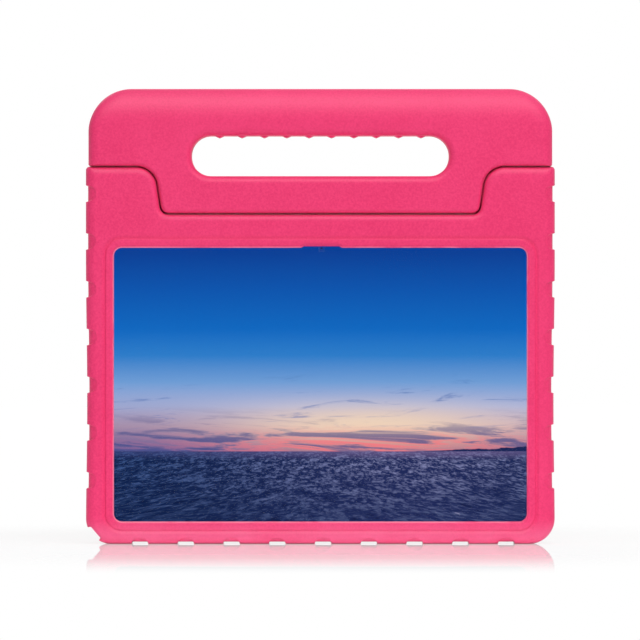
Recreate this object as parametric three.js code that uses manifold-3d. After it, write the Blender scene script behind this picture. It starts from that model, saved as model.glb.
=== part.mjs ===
// Kids tablet case: a thick foam shell with a carrying handle that folds back, and the tablet it holds.
// Millimetres, +Z up, the front faces -Y, and the origin is on the ground under the middle of the shell.
// Run with Node: npm install three manifold-3d

import * as THREE from 'three';
import { mergeVertices } from 'three/addons/utils/BufferGeometryUtils.js';
import Module from 'manifold-3d';

const wasm = await Module();
wasm.setup();

// Driving sizes of the tablet
const TABLET_WIDTH = 247;
const TABLET_HEIGHT = 166;
const TABLET_THICKNESS = 9.2;
const TABLET_CORNER = 8;
const TABLET_BACK_FILLET = 1.5;
const HOUSING_WALL = 1.6;
const HOUSING_FLOOR = 1.2;
const GLASS_THICKNESS = 1;
const PANEL_THICKNESS = 2;
const FRAME_THICKNESS = 0.5;
const PIECE_GAP = 0.3;         // between pieces of the tablet that lie on each other

// Driving sizes of the foam shell
const POCKET_GAP = 0.3;        // round the tablet in its pocket
const SIDE_WALL = 12.7;
const BASE_WALL = 9.4;
const TOP_WALL = 15.55;        // between the pocket and the floor of the handle's notch
const LIP_THICKNESS = 4.5;
const BACK_THICKNESS = 13.7;
const LIP_OVERLAP = 3.4;       // how far the lip covers the tablet's face
const WINDOW_CORNER = 4.7;
const WINDOW_FILLET = 1;
const SIDE_FILLET = 6;
const BASE_FILLET = 5;
const BASE_CORNER = 15;
const EAR_CORNER = 2.5;
const SEAM_FILLET = 2.3;       // front edges along the seam
const NOTCH_BACK_FILLET = 3;
const GROOVE_OFFSET = 5.5;     // from the window to the middle of the groove
const GROOVE_WIDTH = 1.6;
const GROOVE_DEPTH = 0.8;
const BACK_RECESS_DEPTH = 6;
const BACK_RECESS_RIM = 14;    // width of the raised rim round the recess, outside the tablet's height
const BACK_RECESS_CORNER = 12;
const BACK_RECESS_SLOPE = 3;

// Seam between shell and handle, seen from the front
const SEAM_GAP = 0.9;
const HINGE_RADIUS = 13.5;     // from the hinge axis down to the seam's floor
const EAR_RISE = 14;           // from the hinge axis up to the seam on top of the ears
const HINGE_BACK = 8;          // from the hinge axis to the back face
const EAR_WIDTH = 39.9;        // from the shell's side to the notch, along the seam on top of the ear
const NOTCH_RUN = 4.1;         // sideways run of the notch's sloped sides
const SEAM_BEND = 12.4;
const SEAM_CORNER = 5;

// Driving sizes of the handle
const HANDLE_RISE = 45.5;      // from the seam on top of the ears to the top of the handle
const HANDLE_STEP = 1.5;       // the handle is narrower than the shell by this much on each side
const HANDLE_CORNER = 25;
const HANDLE_EDGE = 1.5;       // small corner radius at the shoulders' outer ends
const CROWN_HEIGHT = 16;       // the top edge is rounded over this height
const CROWN_DEPTH = 12;        // and this depth, from the front and from the back
const HANDLE_FILLET = 6;
const SHOULDER_BACK_FILLET = 3;
const HANDLE_SEAM_FILLET = 1.2;
const KNUCKLE_TO_SIDE = 30.5;  // from the knuckle's end to the shell's side
const GRIP_BAR = 27.4;
const SLOT_WIDTH = 150;
const SLOT_HEIGHT = 23.6;
const SLOT_CORNER = 11.5;
const SLOT_FILLET = 2.5;
const RIDGE_COUNT = 10;
const RIDGE_PITCH = 13.05;
const RIDGE_WIDTH = 5.2;
const RIDGE_HEIGHT = 1.3;
const RIDGE_LENGTH = 17;

// Driving sizes of the hinge
const PIN_RADIUS = 2.5;
const PIN_IN_KNUCKLE = 16;
const PIN_IN_EAR = 12;
const BUSH_WALL = 2;
const BUSH_LENGTH = 14;
const HINGE_GAP = 0.3;

// Driving sizes of the grip recesses
const GRIP_WIDTH = 9.3;
const GRIP_DEPTH = 1.3;
const GRIP_FLOOR_ROUNDING = 0.6;  // the floor's edge is rounded by this much more than the shell's
const SIDE_GRIP_REACH = 5.8;   // how far a recess runs on to the front and back faces
const SIDE_GRIP_FIRST = 37;
const SIDE_GRIP_PITCH = 27.8;
const SIDE_GRIP_COUNT = 7;
const BASE_GRIP_REACH = 3.5;
const BASE_GRIP_FIRST = -105;
const BASE_GRIP_PITCH = 26.65;
const BASE_GRIP_COUNT = 9;
const CORNER_FLAT_ANGLE = 221; // degrees, direction from the corner's centre to the flat's middle
const CORNER_FLAT_INSET = 2.6; // depth of the flat below the corner's arc

// Driving sizes of the openings and the parts behind them
const CAMERA_NOTCH_HALF = 11.4;
const CAMERA_NOTCH_MIDDLE = 0.7;
const CAMERA_NOTCH_RISE = 0.9;      // at the tablet's face
const CAMERA_NOTCH_SCOOP = 3.2;     // at the shell's front face
const CAMERA_NOTCH_SLOPE = 3.4;     // sideways run of the notch's sloped ends
const FRONT_CAMERA_WIDTH = 2.4;
const FRONT_CAMERA_BOTTOM = 1.7;    // below the window's top edge
const FRONT_CAMERA_HEIGHT = 3;
const REAR_CAMERA_TO_SIDE = 37.5;   // from the tablet's side to the camera's middle
const REAR_CAMERA_TO_TOP = 31.7;
const REAR_CAMERA_SIZE = 9;
const REAR_LENS_RADIUS = 3;
const REAR_HOLE_RADIUS = 7;
const REAR_HOLE_FLARE = 2;
const SIDE_OPENING_HEIGHT = 7;      // of the three cut-outs in the right wall, front to back
const SIDE_OPENING_FLARE = 1.5;
const PORT_OPENING_LENGTH = 16;
const KEY_OPENING_MARGIN = 1.6;     // past each end of the keys

const POWER_TO_TOP = 13.7;            // from the tablet's top edge to the key's middle
const POWER_LENGTH = 10;
const VOLUME_TO_TOP = 41.4;
const VOLUME_LENGTH = 6.8;
const VOLUME_SPACING = 8.2;
const KEY_HEIGHT = 2.4;
const KEY_PROUD = 0.7;
const KEY_TRAVEL = 0.35;
const KEY_FLANGE = 0.4;             // the flange is wider than the cap by this much all round
const KEY_FLANGE_THICKNESS = 1;
const SWITCH_RISE = 0.25;
const SWITCH_RADIUS = 0.8;
const STRIP_THICKNESS = 0.8;
const STRIP_MARGIN = 3;

const PORT_TO_TOP = 69.2;
const PORT_WIDTH = 9;
const PORT_HEIGHT = 3.2;
const PORT_LENGTH = 9;
const PORT_SHELL = 0.4;
const PORT_BACK_WALL = 2;
const PORT_TONGUE_WIDTH = 4.5;
const PORT_TONGUE_THICKNESS = 0.8;
const PORT_TONGUE_SETBACK = 1;      // from the port's mouth
const PORT_RECESS = 0.3;            // the port's mouth lies this far inside the tablet's side

// Driving sizes of the pieces inside the tablet
const BOARD_TO_SIDE = 57.5;         // from the board's left edge to the tablet's right side
const BOARD_TO_TOP = 7.7;           // from the board's top edge to the tablet's
const BOARD_HEIGHT = 98;
const BOARD_THICKNESS = 0.8;
const SHIELD_HEIGHT = 1.9;
const SHIELDS = [                   // places on the board, from its left edge and its bottom
  { left: 6, bottom: 42, width: 34, height: 24 },
  { left: 6, bottom: 10, width: 26, height: 24 },
];
const SCREW_RADIUS = 0.6;
const SCREW_HEAD_RADIUS = 1.4;
const SCREW_HEAD_HEIGHT = 0.6;
const SCREW_EDGE = 3.5;             // from the board's edges
const BATTERY_TO_SPEAKER = 3.9;
const BATTERY_TO_BOTTOM = 13.7;     // from the housing's inner walls
const BATTERY_TO_TOP = 24.1;
const BATTERY_TO_BOARD = 6;
const BATTERY_CORNER = 2;
const SPEAKER_WIDTH = 14;
const SPEAKER_HEIGHT = 36;
const SPEAKER_SIDE = 4;             // from the housing's wall
const SPEAKER_TO_BOTTOM = 8.7;
const SPEAKER_PORT_RADIUS = 4;
const SPEAKER_PORT_DEPTH = 0.5;

// Places worked out from the driving sizes
const caseWidth = TABLET_WIDTH + 2 * (POCKET_GAP + SIDE_WALL);
const caseDepth = LIP_THICKNESS + TABLET_THICKNESS + 2 * POCKET_GAP + BACK_THICKNESS;
const half = caseWidth / 2;
const seamHalfTop = half - EAR_WIDTH;
const seamHalfFloor = seamHalfTop - NOTCH_RUN;
const knuckleHalf = half - KNUCKLE_TO_SIDE;
const front = -caseDepth / 2;
const back = caseDepth / 2;
const faceY = front + LIP_THICKNESS + POCKET_GAP;     // front of the tablet
const rearY = faceY + TABLET_THICKNESS;               // back of the tablet
const pocketBottom = BASE_WALL;
const pocketTop = BASE_WALL + TABLET_HEIGHT + 2 * POCKET_GAP;
const pocketHalf = TABLET_WIDTH / 2 + POCKET_GAP;
const windowHalf = TABLET_WIDTH / 2 - LIP_OVERLAP;
const windowBottom = pocketBottom + POCKET_GAP + LIP_OVERLAP;
const windowTop = pocketTop - POCKET_GAP - LIP_OVERLAP;
const seamFloor = pocketTop + TOP_WALL + SEAM_GAP / 2;
const axisZ = seamFloor + HINGE_RADIUS;
const axisY = back - HINGE_BACK;
const seamTop = axisZ + EAR_RISE;
const knuckleRadius = HINGE_RADIUS - SEAM_GAP / 2;
const reliefRadius = HINGE_RADIUS + SEAM_GAP / 2;
const reliefHalf = knuckleHalf + SEAM_GAP / 2;
const bushFrom = reliefHalf + HINGE_GAP;
const bushRadius = PIN_RADIUS + HINGE_GAP + BUSH_WALL;
const handleTop = seamTop + HANDLE_RISE;
const handleHalf = half - HANDLE_STEP;
const slotTop = handleTop - GRIP_BAR;
const slotBottom = slotTop - SLOT_HEIGHT;
const glassBack = faceY + GLASS_THICKNESS;
const panelFront = glassBack + PIECE_GAP;
const panelBack = panelFront + PANEL_THICKNESS;
const frameFront = panelBack + PIECE_GAP;
const frameBack = frameFront + FRAME_THICKNESS;
const boardFront = frameBack + PIECE_GAP;
const boardBack = boardFront + BOARD_THICKNESS;
const floorY = rearY - HOUSING_FLOOR;                 // inner face of the housing's floor
const innerHalf = TABLET_WIDTH / 2 - HOUSING_WALL;    // inner faces of the housing's walls
const innerBottom = pocketBottom + POCKET_GAP + HOUSING_WALL;
const innerTop = pocketTop - POCKET_GAP - HOUSING_WALL;
const keyY = floorY - PIECE_GAP - KEY_HEIGHT / 2 - KEY_FLANGE;
const flangeOut = innerHalf - PIECE_GAP;
const flangeIn = flangeOut - KEY_FLANGE_THICKNESS;
const switchTip = flangeIn - KEY_TRAVEL - PIECE_GAP;
const stripOut = switchTip - SWITCH_RISE;
const stripIn = stripOut - STRIP_THICKNESS;
const tabletTop = pocketTop - POCKET_GAP;
const powerZ = tabletTop - POWER_TO_TOP;
const volumeZ = tabletTop - VOLUME_TO_TOP;
const portZ = tabletTop - PORT_TO_TOP;
const boardTop = tabletTop - BOARD_TO_TOP;
const boardBottom = boardTop - BOARD_HEIGHT;
const batteryBottom = innerBottom + BATTERY_TO_BOTTOM;
const batteryTop = innerTop - BATTERY_TO_TOP;
const speakerBottom = innerBottom + SPEAKER_TO_BOTTOM;
const boardLeft = TABLET_WIDTH / 2 - BOARD_TO_SIDE;
const boardRight = stripIn - PIECE_GAP;
const speakerInner = innerHalf - SPEAKER_SIDE - SPEAKER_WIDTH;
const batteryLeft = -speakerInner + BATTERY_TO_SPEAKER;
const rearCameraX = TABLET_WIDTH / 2 - REAR_CAMERA_TO_SIDE;
const rearCameraZ = tabletTop - REAR_CAMERA_TO_TOP;
const portMouth = TABLET_WIDTH / 2 - PORT_RECESS;
const portY = floorY - PIECE_GAP - PORT_HEIGHT / 2;
const cameraBottom = windowTop - FRONT_CAMERA_BOTTOM;

const PAST = 1;              // how far a cutter runs past the face it opens
const SMALLEST_RADIUS = 0.3;
const WELD = 1e-4;

// Turns a closed geometry into a solid that can be joined and cut.
function toSolid(geometry) {
  const bare = geometry.clone();
  bare.deleteAttribute('normal');
  bare.deleteAttribute('uv');
  const welded = mergeVertices(bare, WELD);
  return new wasm.Manifold(new wasm.Mesh({
    numProp: 3,
    vertProperties: new Float32Array(welded.attributes.position.array),
    triVerts: new Uint32Array(welded.index.array),
  }));
}

function toGeometry(solid) {
  const mesh = solid.getMesh();
  const geometry = new THREE.BufferGeometry();
  geometry.setAttribute('position', new THREE.BufferAttribute(new Float32Array(mesh.vertProperties), 3));
  geometry.setIndex(Array.from(mesh.triVerts));
  geometry.computeVertexNormals();
  return geometry;
}

// Points on an arc, given as [horizontal, vertical], with angles in degrees.
function arc(centreH, centreV, radiusH, radiusV, from, to, steps) {
  return Array.from({ length: steps + 1 }, (_, i) => {
    const angle = THREE.MathUtils.degToRad(from + (to - from) * i / steps);
    return [centreH + radiusH * Math.cos(angle), centreV + radiusV * Math.sin(angle)];
  });
}

// Where two lines cross, each given by a point on it and its direction.
function crossing(first, second) {
  const between = second.start.clone().sub(first.start);
  const along = between.cross(second.along) / first.along.cross(second.along);
  return first.start.clone().addScaledVector(first.along, along);
}

// Closed outline seen from the front, anticlockwise, from corners { x, z, radius, steps }. Side k, from
// corner k to the next, is moved inwards by insets[k]. Every outline of the same corners has as many
// points, so that outlines with different insets can be joined into a rounded edge.
function outline(corners, insets) {
  const count = corners.length;
  const sides = corners.map((corner, k) => {
    const next = corners[(k + 1) % count];
    const along = new THREE.Vector2(next.x - corner.x, next.z - corner.z).normalize();
    const inward = new THREE.Vector2(-along.y, along.x);
    return { start: new THREE.Vector2(corner.x, corner.z).addScaledVector(inward, insets[k]), along };
  });
  return corners.flatMap((corner, k) => {
    const before = sides[(k + count - 1) % count];
    const after = sides[k];
    const inset = Math.max(insets[(k + count - 1) % count], insets[k]);
    const turn = Math.sign(before.along.cross(after.along));
    const radius = Math.max(corner.radius - turn * inset, SMALLEST_RADIUS);
    const angle = Math.acos(before.along.dot(after.along));
    const vertex = crossing(before, after);
    const start = vertex.addScaledVector(before.along, -radius * Math.tan(angle / 2));
    const toCentre = new THREE.Vector2(-before.along.y, before.along.x).multiplyScalar(turn * radius);
    const centre = start.clone().add(toCentre);
    return Array.from({ length: corner.steps + 1 }, (_, i) => {
      const point = start.clone().rotateAround(centre, turn * angle * i / corner.steps);
      return [point.x, point.y];
    });
  });
}

function rectangle(left, right, bottom, top, radius, steps) {
  return [[left, bottom], [right, bottom], [right, top], [left, top]]
    .map(([x, z]) => ({ x, z, radius, steps }));
}

// Closed solid through outlines of equal point count, from the front ring to the back ring.
function loft(rings) {
  const count = rings[0].points.length;
  const positions = rings.flatMap(({ y, points }) => points.flatMap(([x, z]) => [x, y, z]));
  const indices = [];
  for (let r = 0; r < rings.length - 1; r += 1) {
    for (let i = 0; i < count; i += 1) {
      const j = (i + 1) % count;
      const [near, nearNext] = [r * count + i, r * count + j];
      indices.push(near, near + count, nearNext + count, near, nearNext + count, nearNext);
    }
  }
  const cap = (ring) => THREE.ShapeUtils.triangulateShape(
    rings[ring].points.map(([x, z]) => new THREE.Vector2(x, z)), []);
  const last = (rings.length - 1) * count;
  cap(0).forEach(([a, b, c]) => indices.push(a, b, c));
  cap(rings.length - 1).forEach(([a, b, c]) => indices.push(last + a, last + c, last + b));
  return surface(positions, indices);
}

// Closed ring-shaped solid: its section's corners are outlines, and each is joined to the next.
function hoop(rings) {
  const count = rings[0].points.length;
  const positions = rings.flatMap(({ y, points }) => points.flatMap(([x, z]) => [x, y, z]));
  const indices = rings.flatMap((_, r) => rings[0].points.flatMap((__, i) => {
    const j = (i + 1) % count;
    const other = ((r + 1) % rings.length) * count;
    return [r * count + i, other + i, other + j, r * count + i, other + j, r * count + j];
  }));
  return surface(positions, indices);
}

function surface(positions, indices) {
  const geometry = new THREE.BufferGeometry();
  geometry.setAttribute('position', new THREE.Float32BufferAttribute(positions, 3));
  geometry.setIndex(indices);
  return toSolid(geometry);
}

function slab(points, y0, y1) {
  return loft([{ y: y0, points }, { y: y1, points }]);
}

// Solid of a section given as [y, z] points, running along X.
function bar(section, x0, x1) {
  const shape = new THREE.Shape(section.map(([y, z]) => new THREE.Vector2(y, z)));
  const geometry = new THREE.ExtrudeGeometry(shape, { depth: x1 - x0, bevelEnabled: false, steps: 1 });
  geometry.applyMatrix4(new THREE.Matrix4().makeBasis(
    new THREE.Vector3(0, 1, 0), new THREE.Vector3(0, 0, 1), new THREE.Vector3(1, 0, 0)));
  geometry.translate(x0, 0, 0);
  return toSolid(geometry);
}

function box(x0, x1, y0, y1, z0, z1) {
  const geometry = new THREE.BoxGeometry(x1 - x0, y1 - y0, z1 - z0);
  geometry.translate((x0 + x1) / 2, (y0 + y1) / 2, (z0 + z1) / 2);
  return toSolid(geometry);
}

function rodAlongX(radius, x0, x1, y, z, sides) {
  const geometry = new THREE.CylinderGeometry(radius, radius, x1 - x0, sides);
  geometry.rotateZ(-Math.PI / 2);
  geometry.translate((x0 + x1) / 2, y, z);
  return toSolid(geometry);
}

// Round solid along Y that widens from one radius at y0 to the other at y1.
function coneAlongY(radius0, radius1, y0, y1, x, z, sides) {
  const geometry = new THREE.CylinderGeometry(radius1, radius0, y1 - y0, sides);
  geometry.translate(0, (y0 + y1) / 2, 0);
  geometry.translate(x, 0, z);
  return toSolid(geometry);
}

// Fillet: how far a side lies inside its full outline at a given depth below the face.
function rounding(inPlane, depthwise, depth) {
  const left = Math.max(0, 1 - depth / depthwise);
  return inPlane * (1 - Math.sqrt(1 - left * left));
}

// Depths below a face at which a rounded edge gets its rings, closer together near the face.
function ringDepths(deepest, steps) {
  return Array.from({ length: steps + 1 }, (_, i) => deepest * (1 - Math.cos(Math.PI / 2 * i / steps)));
}

function shellCorners() {
  const corner = (x, z, radius, steps) => ({ x, z, radius, steps });
  return [
    corner(-half, 0, BASE_CORNER, 8),
    corner(half, 0, BASE_CORNER, 8),
    corner(half, seamTop, EAR_CORNER, 3),
    corner(seamHalfTop, seamTop, SEAM_BEND, 7),
    corner(seamHalfFloor, seamFloor, SEAM_CORNER, 4),
    corner(-seamHalfFloor, seamFloor, SEAM_CORNER, 4),
    corner(-seamHalfTop, seamTop, SEAM_BEND, 7),
    corner(-half, seamTop, EAR_CORNER, 3),
  ];
}

// Outer form of the foam shell. A deepened one, with the sides and base moved in, is what the grip
// recesses leave standing.
function shellForm(deepen, extraFillet) {
  const ring = (y, side, base, seam, ear) => ({
    y,
    points: outline(shellCorners(), [
      deepen + base, deepen + side, SEAM_GAP / 2 + ear, SEAM_GAP / 2 + seam, SEAM_GAP / 2 + seam,
      SEAM_GAP / 2 + seam, SEAM_GAP / 2 + ear, deepen + side,
    ]),
  });
  const sideFillet = SIDE_FILLET + extraFillet;
  const baseFillet = BASE_FILLET + extraFillet;
  const frontRings = ringDepths(sideFillet, 6).map((depth) => ring(
    front + depth,
    rounding(sideFillet, sideFillet, depth),
    rounding(baseFillet, baseFillet, depth),
    rounding(SEAM_FILLET, SEAM_FILLET, depth),
    rounding(SEAM_FILLET, SEAM_FILLET, depth)));
  const backRings = ringDepths(HINGE_BACK, 7).reverse().map((depth) => ring(
    back - depth,
    rounding(sideFillet, sideFillet, depth),
    rounding(baseFillet, baseFillet, depth),
    rounding(NOTCH_BACK_FILLET, NOTCH_BACK_FILLET, depth),
    rounding(HINGE_BACK, HINGE_BACK, depth)));
  return loft([...frontRings, ...backRings]);
}

// Prisms that mark where the grip recesses lie on the sides and the base, seen from the front.
function gripPrisms() {
  const radius = GRIP_WIDTH / 2;
  const reach = (depth) => [
    [-radius, -PAST], [radius, -PAST], ...arc(0, 0, radius, depth, 0, 180, 8),
  ];
  const prisms = [];
  for (let i = 0; i < SIDE_GRIP_COUNT; i += 1) {
    const z = SIDE_GRIP_FIRST + i * SIDE_GRIP_PITCH;
    const left = reach(SIDE_GRIP_REACH).map(([across, inward]) => [-half + inward, z - across]);
    const right = reach(SIDE_GRIP_REACH).map(([across, inward]) => [half - inward, z + across]);
    prisms.push(slab(left, front - PAST, back + PAST), slab(right, front - PAST, back + PAST));
  }
  for (let i = 0; i < BASE_GRIP_COUNT; i += 1) {
    const x = BASE_GRIP_FIRST + i * BASE_GRIP_PITCH;
    const base = reach(BASE_GRIP_REACH).map(([across, inward]) => [x + across, inward]);
    prisms.push(slab(base, front - PAST, back + PAST));
  }
  return prisms.reduce((sum, prism) => sum.add(prism));
}

// The flat across the bottom left corner.
function cornerFlat() {
  const far = BASE_CORNER;
  const near = BASE_CORNER - CORNER_FLAT_INSET;
  const geometry = new THREE.BoxGeometry(far, caseDepth + 2 * PAST, GRIP_WIDTH);
  geometry.translate(near + far / 2, 0, 0);
  geometry.rotateY(-THREE.MathUtils.degToRad(CORNER_FLAT_ANGLE));
  geometry.translate(-half + BASE_CORNER, 0, BASE_CORNER);
  return toSolid(geometry);
}

// The shallow V groove that frames the window on the front face.
function windowGroove() {
  const corners = rectangle(-windowHalf, windowHalf, windowBottom, windowTop, WINDOW_CORNER, 6);
  const ring = (y, offset) => ({ y, points: outline(corners, Array(4).fill(-offset)) });
  return hoop([
    ring(front - PAST, GROOVE_OFFSET - GROOVE_WIDTH / 2),
    ring(front, GROOVE_OFFSET - GROOVE_WIDTH / 2),
    ring(front + GROOVE_DEPTH, GROOVE_OFFSET),
    ring(front, GROOVE_OFFSET + GROOVE_WIDTH / 2),
    ring(front - PAST, GROOVE_OFFSET + GROOVE_WIDTH / 2),
  ]);
}

function windowCutter() {
  const corners = rectangle(-windowHalf, windowHalf, windowBottom, windowTop, WINDOW_CORNER, 6);
  const ring = (y, flare) => ({ y, points: outline(corners, Array(4).fill(-flare)) });
  const rim = ringDepths(WINDOW_FILLET, 3)
    .map((depth) => ring(front + depth, rounding(WINDOW_FILLET, WINDOW_FILLET, depth)));
  return loft([ring(front - PAST, WINDOW_FILLET), ...rim, ring(faceY, 0)]);
}

// The scoop in the middle of the window's top edge that clears the front camera.
function cameraNotch() {
  const profile = (half0, half1, top) => [
    [CAMERA_NOTCH_MIDDLE - half0, windowTop - PAST],
    [CAMERA_NOTCH_MIDDLE + half0, windowTop - PAST],
    [CAMERA_NOTCH_MIDDLE + half0, windowTop],
    [CAMERA_NOTCH_MIDDLE + half1, windowTop + top],
    [CAMERA_NOTCH_MIDDLE - half1, windowTop + top],
    [CAMERA_NOTCH_MIDDLE - half0, windowTop],
  ];
  const wide = CAMERA_NOTCH_HALF + CAMERA_NOTCH_SLOPE;
  const deep = profile(CAMERA_NOTCH_HALF, CAMERA_NOTCH_HALF - CAMERA_NOTCH_RISE, CAMERA_NOTCH_RISE);
  const open = profile(wide, CAMERA_NOTCH_HALF - CAMERA_NOTCH_SLOPE, CAMERA_NOTCH_SCOOP);
  return loft([
    { y: front - PAST, points: open },
    { y: front, points: open },
    { y: front + LIP_THICKNESS / 2, points: deep },
    { y: faceY, points: deep },
  ]);
}

// Round-ended cut-out through the right wall, wider at its mouth.
function sideOpening(z, length) {
  const radius = SIDE_OPENING_HEIGHT / 2;
  const section = (grow) => [
    ...arc(keyY, z + length / 2 - radius, radius + grow, radius + grow, 0, 180, 8),
    ...arc(keyY, z - length / 2 + radius, radius + grow, radius + grow, 180, 360, 8),
  ];
  const inner = bar(section(0), pocketHalf - PAST, half + PAST);
  const mouth = bar(section(SIDE_OPENING_FLARE), half - GRIP_DEPTH - SIDE_OPENING_FLARE, half + PAST);
  return inner.add(mouth);
}

function pocket() {
  const corners = rectangle(-pocketHalf, pocketHalf, pocketBottom, pocketTop,
    TABLET_CORNER + POCKET_GAP, 6);
  const inset = (amount) => outline(corners, Array(4).fill(amount));
  return slab(inset(0), front + LIP_THICKNESS, rearY + POCKET_GAP);
}

function backRecess() {
  const corners = rectangle(-pocketHalf + BACK_RECESS_RIM, pocketHalf - BACK_RECESS_RIM,
    pocketBottom + BACK_RECESS_RIM, pocketTop - BACK_RECESS_RIM, BACK_RECESS_CORNER, 6);
  const inset = (amount) => outline(corners, Array(4).fill(amount));
  return loft([
    { y: back - BACK_RECESS_DEPTH, points: inset(BACK_RECESS_SLOPE) },
    { y: back, points: inset(0) },
    { y: back + PAST, points: inset(0) },
  ]);
}

// Room for the handle's knuckle inside one ear: round below the axis, open above it and to the back.
function knuckleRelief(side) {
  const section = [
    [back + PAST, seamTop + PAST],
    [axisY - reliefRadius, seamTop + PAST],
    ...arc(axisY, axisZ, reliefRadius, reliefRadius, 180, 270, 9),
    [back + PAST, axisZ - reliefRadius],
  ];
  const inner = seamHalfFloor - SEAM_CORNER - PAST;
  return side > 0 ? bar(section, inner, reliefHalf) : bar(section, -reliefHalf, -inner);
}

// A span along X that starts at a distance from the middle and runs outwards, on either side.
function span(side, from, length) {
  return side > 0 ? [from, from + length] : [-from - length, -from];
}

function caseBody() {
  const grips = gripPrisms().subtract(shellForm(GRIP_DEPTH, GRIP_FLOOR_ROUNDING));
  let body = shellForm(0, 0).subtract(grips).subtract(cornerFlat());
  [
    pocket(), windowCutter(), cameraNotch(), windowGroove(), backRecess(),
    knuckleRelief(1), knuckleRelief(-1),
    coneAlongY(REAR_HOLE_RADIUS, REAR_HOLE_RADIUS + REAR_HOLE_FLARE, rearY,
      back - BACK_RECESS_DEPTH + PAST, rearCameraX, rearCameraZ, 24),
    sideOpening(powerZ, POWER_LENGTH + 2 * (KEY_FLANGE + KEY_OPENING_MARGIN)),
    sideOpening(volumeZ, VOLUME_SPACING + VOLUME_LENGTH + 2 * KEY_OPENING_MARGIN),
    sideOpening(portZ, PORT_OPENING_LENGTH),
  ].forEach((cutter) => { body = body.subtract(cutter); });
  [1, -1].forEach((side) => {
    const [x0, x1] = span(side, reliefHalf - PAST, BUSH_LENGTH + 2 * HINGE_GAP + PAST);
    body = body.subtract(rodAlongX(bushRadius + HINGE_GAP, x0, x1, axisY, axisZ, 20));
  });
  return body;
}

function handleCorners() {
  const corner = (x, z, radius, steps) => ({ x, z, radius, steps });
  return [
    corner(-seamHalfFloor, seamFloor, SEAM_CORNER, 4),
    corner(seamHalfFloor, seamFloor, SEAM_CORNER, 4),
    corner(seamHalfTop, seamTop, SEAM_BEND, 7),
    corner(handleHalf, seamTop, HANDLE_EDGE + SEAM_GAP / 2, 3),
    corner(handleHalf, handleTop, HANDLE_CORNER, 10),
    corner(-handleHalf, handleTop, HANDLE_CORNER, 10),
    corner(-handleHalf, seamTop, HANDLE_EDGE + SEAM_GAP / 2, 3),
    corner(-seamHalfTop, seamTop, SEAM_BEND, 7),
  ];
}

function handleForm() {
  const ring = (y, crown, side, seam, shoulder) => ({
    y,
    points: outline(handleCorners(), [
      SEAM_GAP / 2 + seam, SEAM_GAP / 2 + seam, SEAM_GAP / 2 + shoulder, side, crown, side,
      SEAM_GAP / 2 + shoulder, SEAM_GAP / 2 + seam,
    ]),
  });
  const rings = (face, inward, seamFillet, shoulderFillet) => ringDepths(CROWN_DEPTH, 9)
    .map((depth) => ring(
      face + inward * depth,
      rounding(CROWN_HEIGHT, CROWN_DEPTH, depth),
      rounding(HANDLE_FILLET, HANDLE_FILLET, depth),
      rounding(seamFillet, seamFillet, depth),
      rounding(shoulderFillet, shoulderFillet, depth)));
  return loft([
    ...rings(front, 1, HANDLE_SEAM_FILLET, HANDLE_SEAM_FILLET),
    ...rings(back, -1, HANDLE_SEAM_FILLET, SHOULDER_BACK_FILLET).reverse(),
  ]);
}

// The knuckle: round below the hinge axis, flush with the handle's back above it.
function knuckle() {
  const top = seamTop + SEAM_GAP / 2 + SHOULDER_BACK_FILLET;
  const flatAngle = THREE.MathUtils.radToDeg(Math.asin(HINGE_BACK / knuckleRadius));
  return bar([
    [back, top],
    [axisY - knuckleRadius, top],
    ...arc(axisY, axisZ, knuckleRadius, knuckleRadius, 180, 270 + flatAngle, 12),
  ], -knuckleHalf, knuckleHalf);
}

// What is cut off the tab's lower back, so that it turns inside the notch.
function knuckleTrim() {
  const reach = reliefRadius + PAST;
  return bar([
    ...arc(axisY, axisZ, knuckleRadius, knuckleRadius, 0, -90, 12),
    [axisY, axisZ - reach],
    [axisY + reach, axisZ - reach],
    [axisY + reach, axisZ],
  ].reverse(), -knuckleHalf, knuckleHalf);
}

function slotCutter() {
  const corner = Math.min(SLOT_CORNER, SLOT_HEIGHT / 2 - SMALLEST_RADIUS);
  const corners = rectangle(-SLOT_WIDTH / 2, SLOT_WIDTH / 2, slotBottom, slotTop, corner, 8);
  const ring = (y, flare) => ({ y, points: outline(corners, Array(4).fill(-flare)) });
  const rim = (face, inward) => ringDepths(SLOT_FILLET, 4)
    .map((depth) => ring(face + inward * depth, rounding(SLOT_FILLET, SLOT_FILLET, depth)));
  return loft([
    ring(front - PAST, SLOT_FILLET), ...rim(front, 1),
    ...rim(back, -1).reverse(), ring(back + PAST, SLOT_FILLET),
  ]);
}

// The row of small ridges along the slot's top, where the fingers hold.
function ridges() {
  const first = -(RIDGE_COUNT - 1) / 2 * RIDGE_PITCH;
  return Array.from({ length: RIDGE_COUNT }, (_, i) => {
    const x = first + i * RIDGE_PITCH;
    return slab([
      [x, slotTop - RIDGE_HEIGHT], [x + RIDGE_WIDTH / 2, slotTop], [x + RIDGE_WIDTH / 2, slotTop + PAST],
      [x - RIDGE_WIDTH / 2, slotTop + PAST], [x - RIDGE_WIDTH / 2, slotTop],
    ], -RIDGE_LENGTH / 2, RIDGE_LENGTH / 2);
  });
}

function handle() {
  let solid = handleForm().subtract(knuckleTrim()).add(knuckle()).subtract(slotCutter());
  ridges().forEach((ridge) => { solid = solid.add(ridge); });
  [1, -1].forEach((side) => {
    const [x0, x1] = span(side, knuckleHalf - PIN_IN_KNUCKLE - HINGE_GAP, PIN_IN_KNUCKLE + HINGE_GAP + PAST);
    solid = solid.subtract(rodAlongX(PIN_RADIUS + HINGE_GAP, x0, x1, axisY, axisZ, 16));
  });
  return solid;
}

function hingePin(side) {
  const [x0, x1] = span(side, knuckleHalf - PIN_IN_KNUCKLE,
    PIN_IN_KNUCKLE + reliefHalf - knuckleHalf + PIN_IN_EAR);
  return rodAlongX(PIN_RADIUS, x0, x1, axisY, axisZ, 16);
}

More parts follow.
